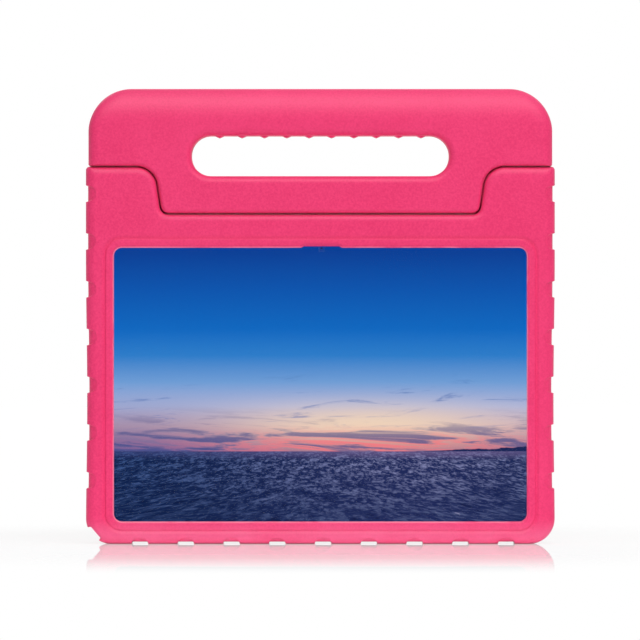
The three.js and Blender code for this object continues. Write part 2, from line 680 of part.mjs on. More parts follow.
// A cup: the pin turns in it, and its closed end keeps the pin from sliding out sideways.
function hingeBush(side) {
  const [x0, x1] = span(side, bushFrom, BUSH_LENGTH);
  const [bore0, bore1] = span(side, bushFrom - PAST, PIN_IN_EAR + PAST);
  return rodAlongX(bushRadius, x0, x1, axisY, axisZ, 20)
    .subtract(rodAlongX(PIN_RADIUS + HINGE_GAP, bore0, bore1, axisY, axisZ, 16));
}

// The keys along the tablet's right side.
const keys = [
  { name: 'power_button', z: powerZ, length: POWER_LENGTH },
  { name: 'volume_up_button', z: volumeZ + VOLUME_SPACING / 2, length: VOLUME_LENGTH },
  { name: 'volume_down_button', z: volumeZ - VOLUME_SPACING / 2, length: VOLUME_LENGTH },
];

function keyBlock(key, x0, x1, grow) {
  const [halfY, halfZ] = [KEY_HEIGHT / 2 + grow, key.length / 2 + grow];
  return box(x0, x1, keyY - halfY, keyY + halfY, key.z - halfZ, key.z + halfZ);
}

function keyButton(key) {
  return keyBlock(key, flangeIn, flangeOut, KEY_FLANGE)
    .add(keyBlock(key, flangeIn, TABLET_WIDTH / 2 + KEY_PROUD, 0));
}

function keyStrip() {
  const spanZ = keys.flatMap(({ z, length }) => [z - length / 2, z + length / 2]);
  const [low, high] = [Math.min(...spanZ) - STRIP_MARGIN, Math.max(...spanZ) + STRIP_MARGIN];
  let strip = box(stripIn, stripOut, keyY - KEY_HEIGHT / 2, keyY + KEY_HEIGHT / 2, low, high);
  keys.forEach((key) => {
    strip = strip.add(rodAlongX(SWITCH_RADIUS, stripOut - STRIP_THICKNESS / 2, switchTip, keyY, key.z, 12));
  });
  return strip;
}

function tabletHousing() {
  const corners = rectangle(-TABLET_WIDTH / 2, TABLET_WIDTH / 2, pocketBottom + POCKET_GAP,
    pocketTop - POCKET_GAP, TABLET_CORNER, 6);
  const inset = (amount) => outline(corners, Array(4).fill(amount));
  const edge = ringDepths(TABLET_BACK_FILLET, 3).reverse().map((depth) => ({
    y: rearY - depth,
    points: inset(rounding(TABLET_BACK_FILLET, TABLET_BACK_FILLET, depth)),
  }));
  let housing = loft([{ y: faceY, points: inset(0) }, ...edge])
    .subtract(slab(inset(HOUSING_WALL), faceY - PAST, floorY))
    .subtract(coneAlongY(REAR_LENS_RADIUS + PIECE_GAP, REAR_LENS_RADIUS + PIECE_GAP, floorY - PAST,
      rearY + PAST, rearCameraX, rearCameraZ, 24));
  keys.forEach((key) => {
    housing = housing.subtract(keyBlock(key, innerHalf - PAST, TABLET_WIDTH / 2 + PAST, PIECE_GAP));
  });
  return housing.subtract(portForm(PIECE_GAP, innerHalf - PAST, TABLET_WIDTH / 2 + PAST));
}

// Round-ended body of the charge port, along X.
function portForm(grow, x0, x1) {
  const radius = PORT_HEIGHT / 2;
  const reach = PORT_WIDTH / 2 - radius;
  return bar([
    ...arc(portY, portZ + reach, radius + grow, radius + grow, 0, 180, 6),
    ...arc(portY, portZ - reach, radius + grow, radius + grow, 180, 360, 6),
  ], x0, x1);
}

function chargePort() {
  const portBack = portMouth - PORT_LENGTH;
  const tongue = box(portBack + PORT_BACK_WALL / 2, portMouth - PORT_TONGUE_SETBACK,
    portY - PORT_TONGUE_THICKNESS / 2, portY + PORT_TONGUE_THICKNESS / 2,
    portZ - PORT_TONGUE_WIDTH / 2, portZ + PORT_TONGUE_WIDTH / 2);
  return portForm(0, portBack, portMouth)
    .subtract(portForm(-PORT_SHELL, portBack + PORT_BACK_WALL, portMouth + PAST))
    .add(tongue);
}

function frontPlate(y0, y1, radius) {
  const corners = rectangle(-innerHalf, innerHalf, innerBottom, innerTop, radius, 5);
  return slab(outline(corners, Array(4).fill(PIECE_GAP)), y0, y1);
}

function cameraBlock(grow, y0, y1) {
  const halfWidth = FRONT_CAMERA_WIDTH / 2 + grow;
  return box(CAMERA_NOTCH_MIDDLE - halfWidth, CAMERA_NOTCH_MIDDLE + halfWidth, y0, y1,
    cameraBottom - grow, cameraBottom + FRONT_CAMERA_HEIGHT + grow);
}

function displayPanel() {
  return frontPlate(panelFront, panelBack, TABLET_CORNER - HOUSING_WALL)
    .subtract(cameraBlock(PIECE_GAP, panelFront - PAST, panelBack + PAST));
}

// Thin plate between the display and the pieces behind it.
function midFrame() {
  return frontPlate(frameFront, frameBack, TABLET_CORNER - HOUSING_WALL);
}

function boardScrewPlaces() {
  return [boardLeft + SCREW_EDGE, boardRight - SCREW_EDGE]
    .flatMap((x) => [boardBottom + SCREW_EDGE, boardTop - SCREW_EDGE].map((z) => ({ x, z })));
}

function mainBoard() {
  let board = box(boardLeft, boardRight, boardFront, boardBack, boardBottom, boardTop);
  SHIELDS.forEach(({ left, bottom, width, height }) => {
    const [x, z] = [boardLeft + left, boardBottom + bottom];
    board = board.add(box(x, x + width, boardBack - BOARD_THICKNESS / 2, boardBack + SHIELD_HEIGHT,
      z, z + height));
  });
  board = board.subtract(box(portMouth - PORT_LENGTH - PIECE_GAP, boardRight + PAST, boardFront - PAST,
    boardBack + PAST, portZ - PORT_WIDTH / 2 - PIECE_GAP, portZ + PORT_WIDTH / 2 + PIECE_GAP));
  boardScrewPlaces().forEach(({ x, z }) => {
    board = board.subtract(coneAlongY(SCREW_RADIUS + PIECE_GAP, SCREW_RADIUS + PIECE_GAP,
      boardFront - PAST, boardBack + PAST, x, z, 12));
  });
  return board;
}

function boardScrew({ x, z }) {
  const headFront = boardBack + PIECE_GAP;
  const headBack = headFront + SCREW_HEAD_HEIGHT;
  return coneAlongY(SCREW_HEAD_RADIUS, SCREW_HEAD_RADIUS, headFront, headBack, x, z, 12)
    .add(coneAlongY(SCREW_RADIUS, SCREW_RADIUS, boardFront, headFront + SCREW_HEAD_HEIGHT / 2, x, z, 12));
}

function speaker(side) {
  const [x0, x1] = span(side, speakerInner, SPEAKER_WIDTH);
  const speakerBack = floorY - PIECE_GAP;
  return box(x0, x1, boardFront, speakerBack, speakerBottom, speakerBottom + SPEAKER_HEIGHT)
    .subtract(coneAlongY(SPEAKER_PORT_RADIUS, SPEAKER_PORT_RADIUS, speakerBack - SPEAKER_PORT_DEPTH,
      speakerBack + PAST, (x0 + x1) / 2, speakerBottom + SPEAKER_HEIGHT / 2, 16));
}

function battery() {
  const corners = rectangle(batteryLeft, boardLeft - BATTERY_TO_BOARD, batteryBottom, batteryTop,
    BATTERY_CORNER, 3);
  return slab(outline(corners, Array(4).fill(0)), boardFront, floorY - PIECE_GAP);
}

function rearCamera() {
  const halfSize = REAR_CAMERA_SIZE / 2;
  const lensBack = rearY - PIECE_GAP;
  return box(rearCameraX - halfSize, rearCameraX + halfSize, boardBack + PIECE_GAP, floorY - PIECE_GAP,
    rearCameraZ - halfSize, rearCameraZ + halfSize)
    .add(coneAlongY(REAR_LENS_RADIUS, REAR_LENS_RADIUS, floorY - 2 * PIECE_GAP, lensBack,
      rearCameraX, rearCameraZ, 24));
}

const material = (color, roughness, metalness) => new THREE.MeshStandardMaterial({
  color, roughness, metalness,
});
const foam = material(0xf04179, 0.85, 0);
const darkPlastic = material(0x2a2b2e, 0.5, 0);
const pinPlastic = material(0xd9d9d6, 0.4, 0);
const glass = material(0x0b1626, 0.08, 0);
const screen = material(0x1d6fc0, 0.3, 0);
const sheetMetal = material(0x9a9da1, 0.4, 0.9);
const cell = material(0x3a3c40, 0.6, 0);
const board = material(0x14532d, 0.6, 0);
const lens = material(0x08090c, 0.1, 0);

const group = new THREE.Group();

function place(name, solid, look) {
  const mesh = new THREE.Mesh(toGeometry(solid), look);
  mesh.name = name;
  group.add(mesh);
}

place('case_body', caseBody(), foam);
place('handle', handle(), foam);
place('hinge_pin_left', hingePin(-1), pinPlastic);
place('hinge_pin_right', hingePin(1), pinPlastic);
place('hinge_bush_left', hingeBush(-1), darkPlastic);
place('hinge_bush_right', hingeBush(1), darkPlastic);
place('tablet_housing', tabletHousing(), darkPlastic);
place('tablet_glass', frontPlate(faceY, glassBack, TABLET_CORNER - HOUSING_WALL), glass);
place('display_panel', displayPanel(), screen);
place('mid_frame', midFrame(), sheetMetal);
place('front_camera', cameraBlock(0, panelFront, panelBack), lens);
place('rear_camera', rearCamera(), lens);
place('battery', battery(), cell);
place('main_board', mainBoard(), board);
boardScrewPlaces().forEach((spot, i) => place(`board_screw_${i + 1}`, boardScrew(spot), sheetMetal));
place('speaker_left', speaker(-1), darkPlastic);
place('speaker_right', speaker(1), darkPlastic);
place('charge_port', chargePort(), sheetMetal);
place('key_strip', keyStrip(), board);
keys.forEach((key) => place(key.name, keyButton(key), darkPlastic));

export default group;
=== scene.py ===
"""Kids tablet case: foam shell, folding carrying handle and the tablet inside, with their looks."""
import math

import bmesh
import bpy
import numpy as np
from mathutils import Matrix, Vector


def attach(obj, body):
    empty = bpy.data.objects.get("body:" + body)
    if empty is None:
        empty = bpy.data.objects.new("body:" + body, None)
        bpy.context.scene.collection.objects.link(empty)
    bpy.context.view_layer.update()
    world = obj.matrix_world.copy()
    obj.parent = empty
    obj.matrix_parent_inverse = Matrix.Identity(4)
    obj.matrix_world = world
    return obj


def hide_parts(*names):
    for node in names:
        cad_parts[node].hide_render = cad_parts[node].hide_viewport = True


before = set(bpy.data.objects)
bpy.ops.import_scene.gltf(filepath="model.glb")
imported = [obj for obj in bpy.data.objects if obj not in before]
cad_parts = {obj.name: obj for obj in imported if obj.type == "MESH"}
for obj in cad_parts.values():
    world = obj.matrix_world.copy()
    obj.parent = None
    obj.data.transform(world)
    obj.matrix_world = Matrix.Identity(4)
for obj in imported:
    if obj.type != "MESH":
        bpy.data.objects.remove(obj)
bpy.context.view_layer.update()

MM = 0.001

# Sizes in millimetres, in the frame of the CAD model. A box is left, right, bottom, top and corner radius.
# An edge is how far its rounding reaches in the plane of the face, then how far back; one number is both.
HALF = 136.5  # half the shell's width
FRONT, BACK = -14.0, 14.0  # its two faces
BASE_CORNER, EAR_CORNER = 15.0, 2.2  # radii of the shell's lower and upper corners
BASE_EDGE, SIDE_EDGE = 5.0, 6.0
EAR_EDGE_FRONT, EAR_EDGE_BACK = (4.8, 3.2), (8.0, 8.0)
NOTCH_EDGE_FRONT, NOTCH_EDGE_BACK = (3.8, 3.2), (3.0, 3.0)
LIP_BACK, POCKET_FLOOR = -9.5, 0.3
POCKET = (-123.8, 123.8, 9.4, 176.0, 8.3)
WINDOW = (-120.1, 120.1, 13.1, 172.3, 4.7)
WINDOW_STRAIGHT = WINDOW[1] - WINDOW[4]  # half the straight stretch of its top
SCOOP_X = 0.7  # middle of the scoop that clears the front camera
BACK_FACE = (-124.4, 124.4, 12.0, 183.5, 9.0)
RECESS = (-109.8, 109.8, 23.4, 162.0, 12.0)
RECESS_DEPTH, RECESS_SLOPE = 6.0, 5.4
SEAM_FLOOR, SEAM_TOP = 192.0, 219.5  # middle of the seam, under the tab and on the ears
SEAM_SIDE = 0.45  # from its middle to either side
SHOULDER_CORNER, TAB_CORNER = 12.4, 5.0  # radii of its upper and lower bends
NOTCH_TOP_HALF, NOTCH_FLOOR_HALF = 96.6, 92.5
NOTCH_WALL = math.hypot(NOTCH_TOP_HALF - NOTCH_FLOOR_HALF, SEAM_TOP - SEAM_FLOOR)  # length of its side
AXIS_Y, AXIS_Z = 6.0, 205.5  # hinge
KNUCKLE_RADIUS, RELIEF_RADIUS = 13.05, 13.95
KNUCKLE_HALF, RELIEF_HALF = 106.0, 106.45
CRADLE_RADIUS, CRADLE_BACK = 13.75, 11.0  # the notch floor's rise behind the knuckle, up to this y
BUSH_BORE, PIN_BORE = (5.1, 14.6), (2.8, 16.3)  # radius, length
HANDLE_HALF, HANDLE_TOP = 135.0, 265.0
CROWN_CORNER, CROWN_STRAIGHT = 25.0, 106.0  # radius, and the half of its top that faces the slot's
CROWN_EDGE, HANDLE_SIDE_EDGE = (19.0, 12.0), (6.0, 6.0)
TAB_EDGE_FRONT, TAB_EDGE_BACK, SHOULDER_EDGE_BACK = (2.2, 3.2), (1.2, 1.2), (3.0, 3.0)
SLOT = (-75.0, 75.0, 214.0, 237.6, 11.5)
SLOT_STRAIGHT = SLOT[1] - SLOT[4]
SLOT_EDGE = (4.2, 4.5)
RIDGES = 13.05 * (np.arange(10) - 4.5)  # middles along the slot's top
SIDE_GRIPS = 37 + 27.8 * np.arange(7)
BASE_GRIPS = -105 + 26.65 * np.arange(9)
GRIP_HALF = 4.65
FLAT_ANGLE, FLAT_REACH = 221.0, 12.4  # the flat at the bottom left corner, from the corner's centre
KEY_Y = -3.1  # depth of the keys and the charge port
REAR_CAMERA = (86.0, 144.0)
FRONT_CAMERA = (SCOOP_X, 172.1)
FACE_INSET = 0.3  # from a rounded edge to the first ring on the flat face
NEAR = 1e-6  # two places closer than this are the same
ALL_ROUND = np.linspace(0, 8, 64, endpoint=False)  # places round a small rounded box


# Shapes

def eased(t):
    """Smooth step: 3 t^2 - 2 t^3, with t held between 0 and 1."""
    t = np.clip(t, 0, 1)
    return t * t * (3 - 2 * t)


def edge_inset(inplane, depthwise, depth):
    """Quarter-ellipse edge: inplane * (1 - sqrt(1 - left^2)), where left = 1 - depth / depthwise."""
    left = np.clip(1 - np.asarray(depth, float) / depthwise, 0, 1)
    return inplane * (1 - np.sqrt(1 - left ** 2))


def edge_depths(deepest, steps):
    """Depths of the rings on a rounded edge: deepest * (1 - cos t), t from 0 to 90 degrees."""
    return deepest * (1 - np.cos(np.linspace(0, math.pi / 2, steps + 1)))


def outline(corners, stations, insets):
    """Outlines seen from the front, anticlockwise, one for each row of insets: rings x points x 2.

    Side k runs from corner k to the next and is moved inwards by insets[:, k]. A corner is an arc that
    touches both moved sides; its radius is the corner's own, less the larger inset where the outline turns
    left and plus it where it turns right, and at least the smaller of 1.5 mm and its own. A station is a
    distance along the unmoved side. It moves inwards with it, and stays between the arcs, 0.03 mm apart.
    """
    smallest, apart = 1.5, 0.03
    spots = np.array([corner[:2] for corner in corners], float)
    along = np.roll(spots, -1, 0) - spots
    along /= np.linalg.norm(along, axis=1, keepdims=True)
    inward = np.stack([-along[:, 1], along[:, 0]], 1)
    arcs = []
    for k, (_, _, radius, steps) in enumerate(corners):
        before, cosine = inward[k - 1], float(inward[k - 1] @ inward[k])
        turn = np.sign(along[k - 1, 0] * along[k, 1] - along[k - 1, 1] * along[k, 0])
        first, second = insets[:, k - 1], insets[:, k]
        vertex = (spots[k]
                  + ((first - cosine * second) / (1 - cosine ** 2))[:, None] * before
                  + ((second - cosine * first) / (1 - cosine ** 2))[:, None] * inward[k])
        rounded = np.maximum(radius - turn * np.maximum(first, second), min(radius, smallest))[:, None]
        angle = math.acos(cosine)
        centre = vertex - along[k - 1] * rounded * math.tan(angle / 2) + turn * before * rounded
        sweep = turn * angle * np.linspace(0, 1, steps + 1)
        spoke = np.stack([np.cos(sweep) * before[0] - np.sin(sweep) * before[1],
                          np.sin(sweep) * before[0] + np.cos(sweep) * before[1]], 1)
        arcs.append(centre[:, None] - turn * rounded[:, None] * spoke)
    parts = []
    for k, run in enumerate(stations):
        order = np.arange(len(run))
        low = (arcs[k][:, -1] - spots[k]) @ along[k]
        high = (arcs[(k + 1) % len(corners)][:, 0] - spots[k]) @ along[k]
        reach = np.maximum(np.asarray(run, float)[None], low[:, None] + apart * (order + 1))
        reach = np.minimum(reach, high[:, None] - apart * (len(run) - order))
        parts += [arcs[k], spots[k] + reach[..., None] * along[k] + insets[:, k, None, None] * inward[k]]
    return np.concatenate(parts, 1)


def rounded_box(place, box, grow):
    """Rounded rectangle at places 0 to 8 round it, one ring for each grow: rings x points x 2.

    Even stretches (0-1, 2-3, 4-5, 6-7) are the bottom, right, top and left sides, odd ones the corner arcs
    between them, of radius + grow, but at least 0.3 mm.
    """
    left, right, bottom, top, radius = box
    place, grow = np.asarray(place)[None], np.asarray(grow, float)[:, None]
    shape = (len(grow), place.shape[1])
    stretch = np.broadcast_to(np.floor(place).astype(int) % 8, shape)
    share = np.broadcast_to(place - np.floor(place), shape)
    reach = np.maximum(radius + grow, 0.3)
    inner = reach - grow
    x0, x1, z0, z1 = left + inner, right - inner, bottom + inner, top - inner
    angle = np.radians(90 * (stretch // 2 - 1) + np.where(stretch % 2 == 1, 90 * share, 0))
    rightward = np.select([stretch == 0, stretch < 4, stretch == 4], [share, 1, 1 - share], 0)
    upward = np.select([stretch < 2, stretch == 2, stretch < 6, stretch == 6], [0, share, 1, 1 - share], 0)
    return np.stack([x0 + (x1 - x0) * rightward + reach * np.cos(angle),
                     z0 + (z1 - z0) * upward + reach * np.sin(angle)], 2)


def rings(flat, depth):
    """Rings x points x 3 from outlines (x, z) and the y of each ring or of each point."""
    y = np.broadcast_to(np.asarray(depth, float).reshape(len(flat), -1), flat.shape[:2])
    return np.stack([flat[..., 0], y, flat[..., 1]], 2)


def rings_along_x(flat, x):
    """Rings x points x 3 from outlines (y, z) and the x of each ring."""
    x = np.broadcast_to(np.asarray(x, float)[:, None], flat.shape[:2])
    return np.stack([x, flat[..., 0], flat[..., 1]], 2)


def make_object(name, verts, faces):
    """Mesh object from vertices in millimetres and lists of corner numbers, one for each face."""
    mesh = bpy.data.meshes.new(name)
    mesh.from_pydata((np.asarray(verts, float) * MM).tolist(), [], faces)
    mesh.update()
    obj = bpy.data.objects.new(name, mesh)
    bpy.context.scene.collection.objects.link(obj)
    return obj


def grid_faces(count, points, closed_rings):
    """Quads between neighbouring rings of as many points; the last ring joins the first if closed_rings."""
    ring = np.arange(count if closed_rings else count - 1)[:, None] * points
    other = (ring + points) % (count * points)
    here = np.arange(points)[None]
    after = (here + 1) % points
    return np.stack([ring + here, other + here, other + after, ring + after], 2).reshape(-1, 4)


def ring_solid(name, grid, closed_rings=False, flip=False):
    """Closed solid from rings x points x 3.

    Each end is closed to a pole in its middle, unless the last ring joins the first.
    """
    count, points = grid.shape[:2]
    verts = grid.reshape(-1, 3)
    faces = grid_faces(count, points, closed_rings).tolist()
    if not closed_rings:
        here = np.arange(points)
        after = (here + 1) % points
        last, pole = (count - 1) * points, len(verts)
        verts = np.concatenate([verts, grid[[0, -1]].mean(1)])
        faces += np.stack([here, after, np.full(points, pole)], 1).tolist()
        faces += np.stack([last + after, last + here, np.full(points, pole + 1)], 1).tolist()
    if flip:
        faces = [face[::-1] for face in faces]
    return make_object(name, verts, faces)


def bar(name, section, x0, x1, edge=0.0):
    """Solid along X: a convex section of (y, z) points, drawn in by a quarter-circle edge at both ends."""
    section = np.asarray(section, float)
    side = np.roll(section, -1, 0) - section
    normal = np.stack([side[:, 1], -side[:, 0]], 1) / np.linalg.norm(side, axis=1, keepdims=True)
    before = np.roll(normal, 1, 0)
    away = (normal + before) / (1 + np.sum(normal * before, 1, keepdims=True))
    depth = edge_depths(edge, 4) if edge else np.zeros(1)
    inset = edge_inset(edge, edge, depth) if edge else np.zeros(1)
    flat = section - np.concatenate([inset, inset[::-1]])[:, None, None] * away
    x = np.concatenate([x0 + depth, (x1 - depth)[::-1]])
    return ring_solid(name, rings_along_x(flat, x), flip=signed_area(section) < 0)


def signed_area(section):
    """Area of a closed (y, z) outline, positive if anticlockwise."""
    after = np.roll(section, -1, 0)
    return 0.5 * float(np.sum(section[:, 0] * after[:, 1] - after[:, 0] * section[:, 1]))


def arc(centre, radius, start, end, steps):
    """Points centre + radius (cos t, sin t), t from start to end in degrees."""
    t = np.radians(np.linspace(start, end, steps + 1))
    return np.stack([centre[0] + radius * np.cos(t), centre[1] + radius * np.sin(t)], 1)


def turned(name, profile, x, z):
    """Solid of revolution: (y, radius) points turned about the line along Y through x and z, in 48 steps."""
    y, radius = np.asarray(profile, float).T
    t = np.linspace(0, 2 * math.pi, 48, endpoint=False)
    flat = np.stack([x + radius[:, None] * np.cos(t), z + radius[:, None] * np.sin(t)], 2)
    return ring_solid(name, rings(flat, y), flip=True)


def outward(obj):
    """Recalculates normals after doubles are merged, so that every face points outwards."""
    work = bmesh.new()
    work.from_mesh(obj.data)
    bmesh.ops.remove_doubles(work, verts=work.verts, dist=1e-7)
    bmesh.ops.recalc_face_normals(work, faces=work.faces)
    work.to_mesh(obj.data)
    work.free()
    return obj


def cut(obj, tools, operation="DIFFERENCE"):
    """Cuts the tools out of obj, or joins them to it, and removes them."""
    for tool in tools:
        step = obj.modifiers.new(tool.name, "BOOLEAN")
        step.operation, step.solver, step.object = operation, "MANIFOLD", outward(tool)
    bpy.context.view_layer.update()
    shaped = bpy.data.meshes.new_from_object(obj.evaluated_get(bpy.context.evaluated_depsgraph_get()))
    obj.modifiers.clear()
    obj.data = shaped
    for tool in tools:
        bpy.data.objects.remove(tool)
    return obj


def shade(obj, angle=32):
    """Smooth faces, with a crisp edge where two meet at more than the angle."""
    obj.data.polygons.foreach_set("use_smooth", np.ones(len(obj.data.polygons), bool))
    obj.data.set_sharp_from_angle(angle=math.radians(angle))
    return obj


# Foam shell

def grip_stations(middles, low, high, gap_steps):
    """Places along a side: close together at each recess's two edges, and gap_steps between two recesses."""
    edge_half = 0.55
    edge = np.linspace(-edge_half, edge_half, 7)
    inside = np.linspace(2 * edge_half - GRIP_HALF, GRIP_HALF - 2 * edge_half, 9)
    near = np.concatenate([edge - GRIP_HALF, inside, edge + GRIP_HALF])
    fine = (middles[:, None] + near[None]).ravel()
    ends = np.concatenate([[low], middles + GRIP_HALF + edge_half])
    starts = np.concatenate([middles - GRIP_HALF - edge_half, [high]])
    share = np.linspace(0, 1, gap_steps + 2)[1:-1]
    between = (ends[:, None] + (starts - ends)[:, None] * share[None]).ravel()
    return np.sort(np.concatenate([fine, between]))


def scoop_stations():
    """Places along the notch's floor, from right to left, close together over the front camera's scoop."""
    return np.sort(np.concatenate([
        np.linspace(-83.5, -20, 9), np.linspace(20, 83.5, 9), SCOOP_X + np.linspace(-16, -6, 15),
        SCOOP_X + np.linspace(-4.5, 4.5, 4), SCOOP_X + np.linspace(6, 16, 15)]))[::-1]


def cradle(y):
    """Rise of the notch's floor behind the hinge axis, round the knuckle: R - sqrt(r^2 - (y - axis)^2).

    It is eased in over the 4 mm before the axis.
    """
    off = np.clip(np.asarray(y, float), AXIS_Y - 4, CRADLE_BACK) - AXIS_Y
    return (RELIEF_RADIUS - np.sqrt(CRADLE_RADIUS ** 2 - off ** 2)) * eased((off + 4) / 4)


def ear_rib(y):
    """Rise of the ears' tops, which closes the seam to the eye.

    It is 0.55 mm high from 6 to 16 mm behind the front, eased in over 2.5 mm before and out over 2 mm after.
    """
    behind = np.asarray(y, float) - FRONT
    return 0.55 * eased((behind - 3.5) / 2.5) * (1 - eased((behind - 16) / 2))


def shell_outline(insets):
    """The shell's outline with the handle's notch: rows of insets (base, side, ear top, notch, its floor)."""
    base, side, ear, notch, floor = (np.asarray(v, float) for v in insets)
    corners = [
        (-HALF, 0, BASE_CORNER, 36), (HALF, 0, BASE_CORNER, 24),
        (HALF, SEAM_TOP, EAR_CORNER, 8), (NOTCH_TOP_HALF, SEAM_TOP, SHOULDER_CORNER, 20),
        (NOTCH_FLOOR_HALF, SEAM_FLOOR, TAB_CORNER, 10), (-NOTCH_FLOOR_HALF, SEAM_FLOOR, TAB_CORNER, 10),
        (-NOTCH_TOP_HALF, SEAM_TOP, SHOULDER_CORNER, 20), (-HALF, SEAM_TOP, EAR_CORNER, 8),
    ]
    upright = grip_stations(SIDE_GRIPS, 15.5, 215.5, 3)
    base_run = grip_stations(BASE_GRIPS, -121, 121, 2) + HALF
    ear_run = np.linspace(4, 22, 6)
    floor_run = NOTCH_FLOOR_HALF - scoop_stations()
    wall_run = np.linspace(13, NOTCH_WALL - 8.6, 4)
    stations = [base_run, upright, ear_run, wall_run, floor_run, (NOTCH_WALL - wall_run)[::-1],
                (HALF - NOTCH_TOP_HALF - ear_run)[::-1], (SEAM_TOP - upright)[::-1]]
    ear, notch, floor = ear + SEAM_SIDE, notch + SEAM_SIDE, floor + SEAM_SIDE
    return outline(corners, stations, np.stack([base, side, ear, notch, floor, notch, ear, side], 1))


def shell_places():
    """Where each point of the shell's outline belongs on a rounded rectangle inside it (see rounded_box).

    A point of the base or a side belongs as far along that side of the rectangle, one on a corner's arc at
    the same angle of its corner, and one on the ears or in the notch above its own place along the top.
    """
    plain = shell_outline([np.zeros(1)] * 5)[0]
    base_x, ear_x = HALF - BASE_CORNER, HALF - EAR_CORNER
    ear_z = SEAM_TOP - SEAM_SIDE - EAR_CORNER
    x, z = plain[:, 0], plain[:, 1]
    base = z < NEAR
    right = (x > HALF - NEAR) & (z > BASE_CORNER)
    left = (x < NEAR - HALF) & (z > BASE_CORNER)
    across = np.interp(x, [-ear_x, -93, -88, 88, 93, ear_x],
                       [-WINDOW_STRAIGHT, -97, -88, 88, 97, WINDOW_STRAIGHT])
    place = 4 + (WINDOW_STRAIGHT - across) / (2 * WINDOW_STRAIGHT)
    place = np.where(base, np.clip((x + base_x) / (2 * base_x), 0, 1), place)
    up = np.clip((z - BASE_CORNER) / (ear_z - BASE_CORNER), 0, 1)
    place = np.where(right, 2 + up, place)
    place = np.where(left, 7 - up, place)
    for centre, start, first_angle, inside in [
        ((base_x, BASE_CORNER), 1, 270, (x > base_x) & (z < BASE_CORNER)),
        ((ear_x, ear_z), 3, 0, (x > ear_x) & (z > ear_z) & ~right),
        ((-ear_x, ear_z), 5, 90, (x < -ear_x) & (z > ear_z) & ~left),
        ((-base_x, BASE_CORNER), 7, 180, (x < -base_x) & (z < BASE_CORNER)),
    ]:
        turn = np.degrees(np.arctan2(z - centre[1], x - centre[0])) - first_angle
        place = np.where(inside & ~base, start + (turn % 360) / 90, place)
    return place % 8


def dent(points):
    """Moves points of the shell's outer surface into its grip recesses and the corner's flat.

    points is rings x points x 3 on the rounded shell. A point on a side's rounded edge has the normal
    (cos t, sin t) between the side and the face. It moves in along that normal by 0.38 + 0.92 cos(t)^0.6 mm
    inside a half ellipse drawn from the side, and the ellipse's edge is eased over 0.6 mm. At the bottom left
    corner it moves in to a flat that lies 12.4 mm from the corner's centre, rounded by 3 mm at both faces.
    """
    x, y, z = points[..., 0], points[..., 1], points[..., 2]
    depth = np.minimum(y - FRONT, BACK - y)
    moved = points.copy()
    for sideways, reach, middles, fillet in [("x", 5.8, SIDE_GRIPS, SIDE_EDGE),
                                             ("z", 3.5, BASE_GRIPS, BASE_EDGE)]:
        across, along = (HALF - np.abs(x), z) if sideways == "x" else (z, x)
        nearest = middles[np.argmin(np.abs(along[..., None] - middles), axis=-1)]
        ring = np.sqrt(((along - nearest) / GRIP_HALF) ** 2 + (across / reach) ** 2)
        inside = 1 - eased((ring - 1) * GRIP_HALF / 0.6 + 0.5)
        rise = np.clip(1 - depth / fillet, 0, 1)
        level = np.sqrt(1 - rise ** 2)
        amount = inside * (0.38 + 0.92 * level ** 0.6)
        if sideways == "x":
            moved[..., 0] -= np.sign(x) * level * amount
        else:
            moved[..., 2] += level * amount
        moved[..., 1] += np.where(y < 0, 1, -1) * rise * amount
    angle = math.radians(FLAT_ANGLE)
    from_x, from_z = x + HALF - BASE_CORNER, z - BASE_CORNER
    out = from_x * math.cos(angle) + from_z * math.sin(angle)
    aside = from_z * math.cos(angle) - from_x * math.sin(angle)
    limit = FLAT_REACH - edge_inset(3, 3, depth)
    over = np.maximum(out - limit, 0) * (1 - eased((np.abs(aside) - GRIP_HALF) / 0.8 + 0.5)) * (out > 0)
    moved[..., 0] -= over * math.cos(angle)
    moved[..., 2] -= over * math.sin(angle)
    return moved


def waist(points):
    """Draws both sides of the shell in, by up to 0.75 mm at a height of 84 mm.

    The amount falls as (1 + cos) over 84 mm up and down, and fades out from 4.5 to 12.5 mm inside the side.
    """
    x, z = points[..., 0], points[..., 2]
    middle = 84
    amount = 0.375 * (1 + np.cos(math.pi * np.clip((z - middle) / middle, -1, 1)))
    moved = points.copy()
    moved[..., 0] -= np.sign(x) * amount * eased((np.abs(x) - (HALF - 12.5)) / 8)
    return moved


def window_rings(place, grow, y):
    """Window outlines, grown, at the depths y, with the scoop over the front camera.

    The scoop rises by 0.9 mm at the tablet and 2.6 mm at the front, and each end slopes over 0.9 mm and
    5.3 mm there. The rise fades over the face, from all of it at the window's edge to none 4.2 mm above.
    """
    flat = rounded_box(place, WINDOW, grow)
    y, grow = np.asarray(y, float)[:, None], np.asarray(grow, float)[:, None]
    forward = np.clip((FRONT + 2.25 - y) / 2.25, 0, 1)
    rise = (0.9 + 1.7 * forward) * np.clip(1 - grow / 4.2, 0, 1)
    half_bottom, half_top = 11.4 + 2.6 * forward, 10.5 - 1.8 * forward
    off = np.abs(flat[..., 0] - SCOOP_X)
    lift = rise * eased((half_bottom - off) / (half_bottom - half_top))
    flat[..., 1] += np.where(flat[..., 1] > 170, lift, 0)
    return rings(flat, y)


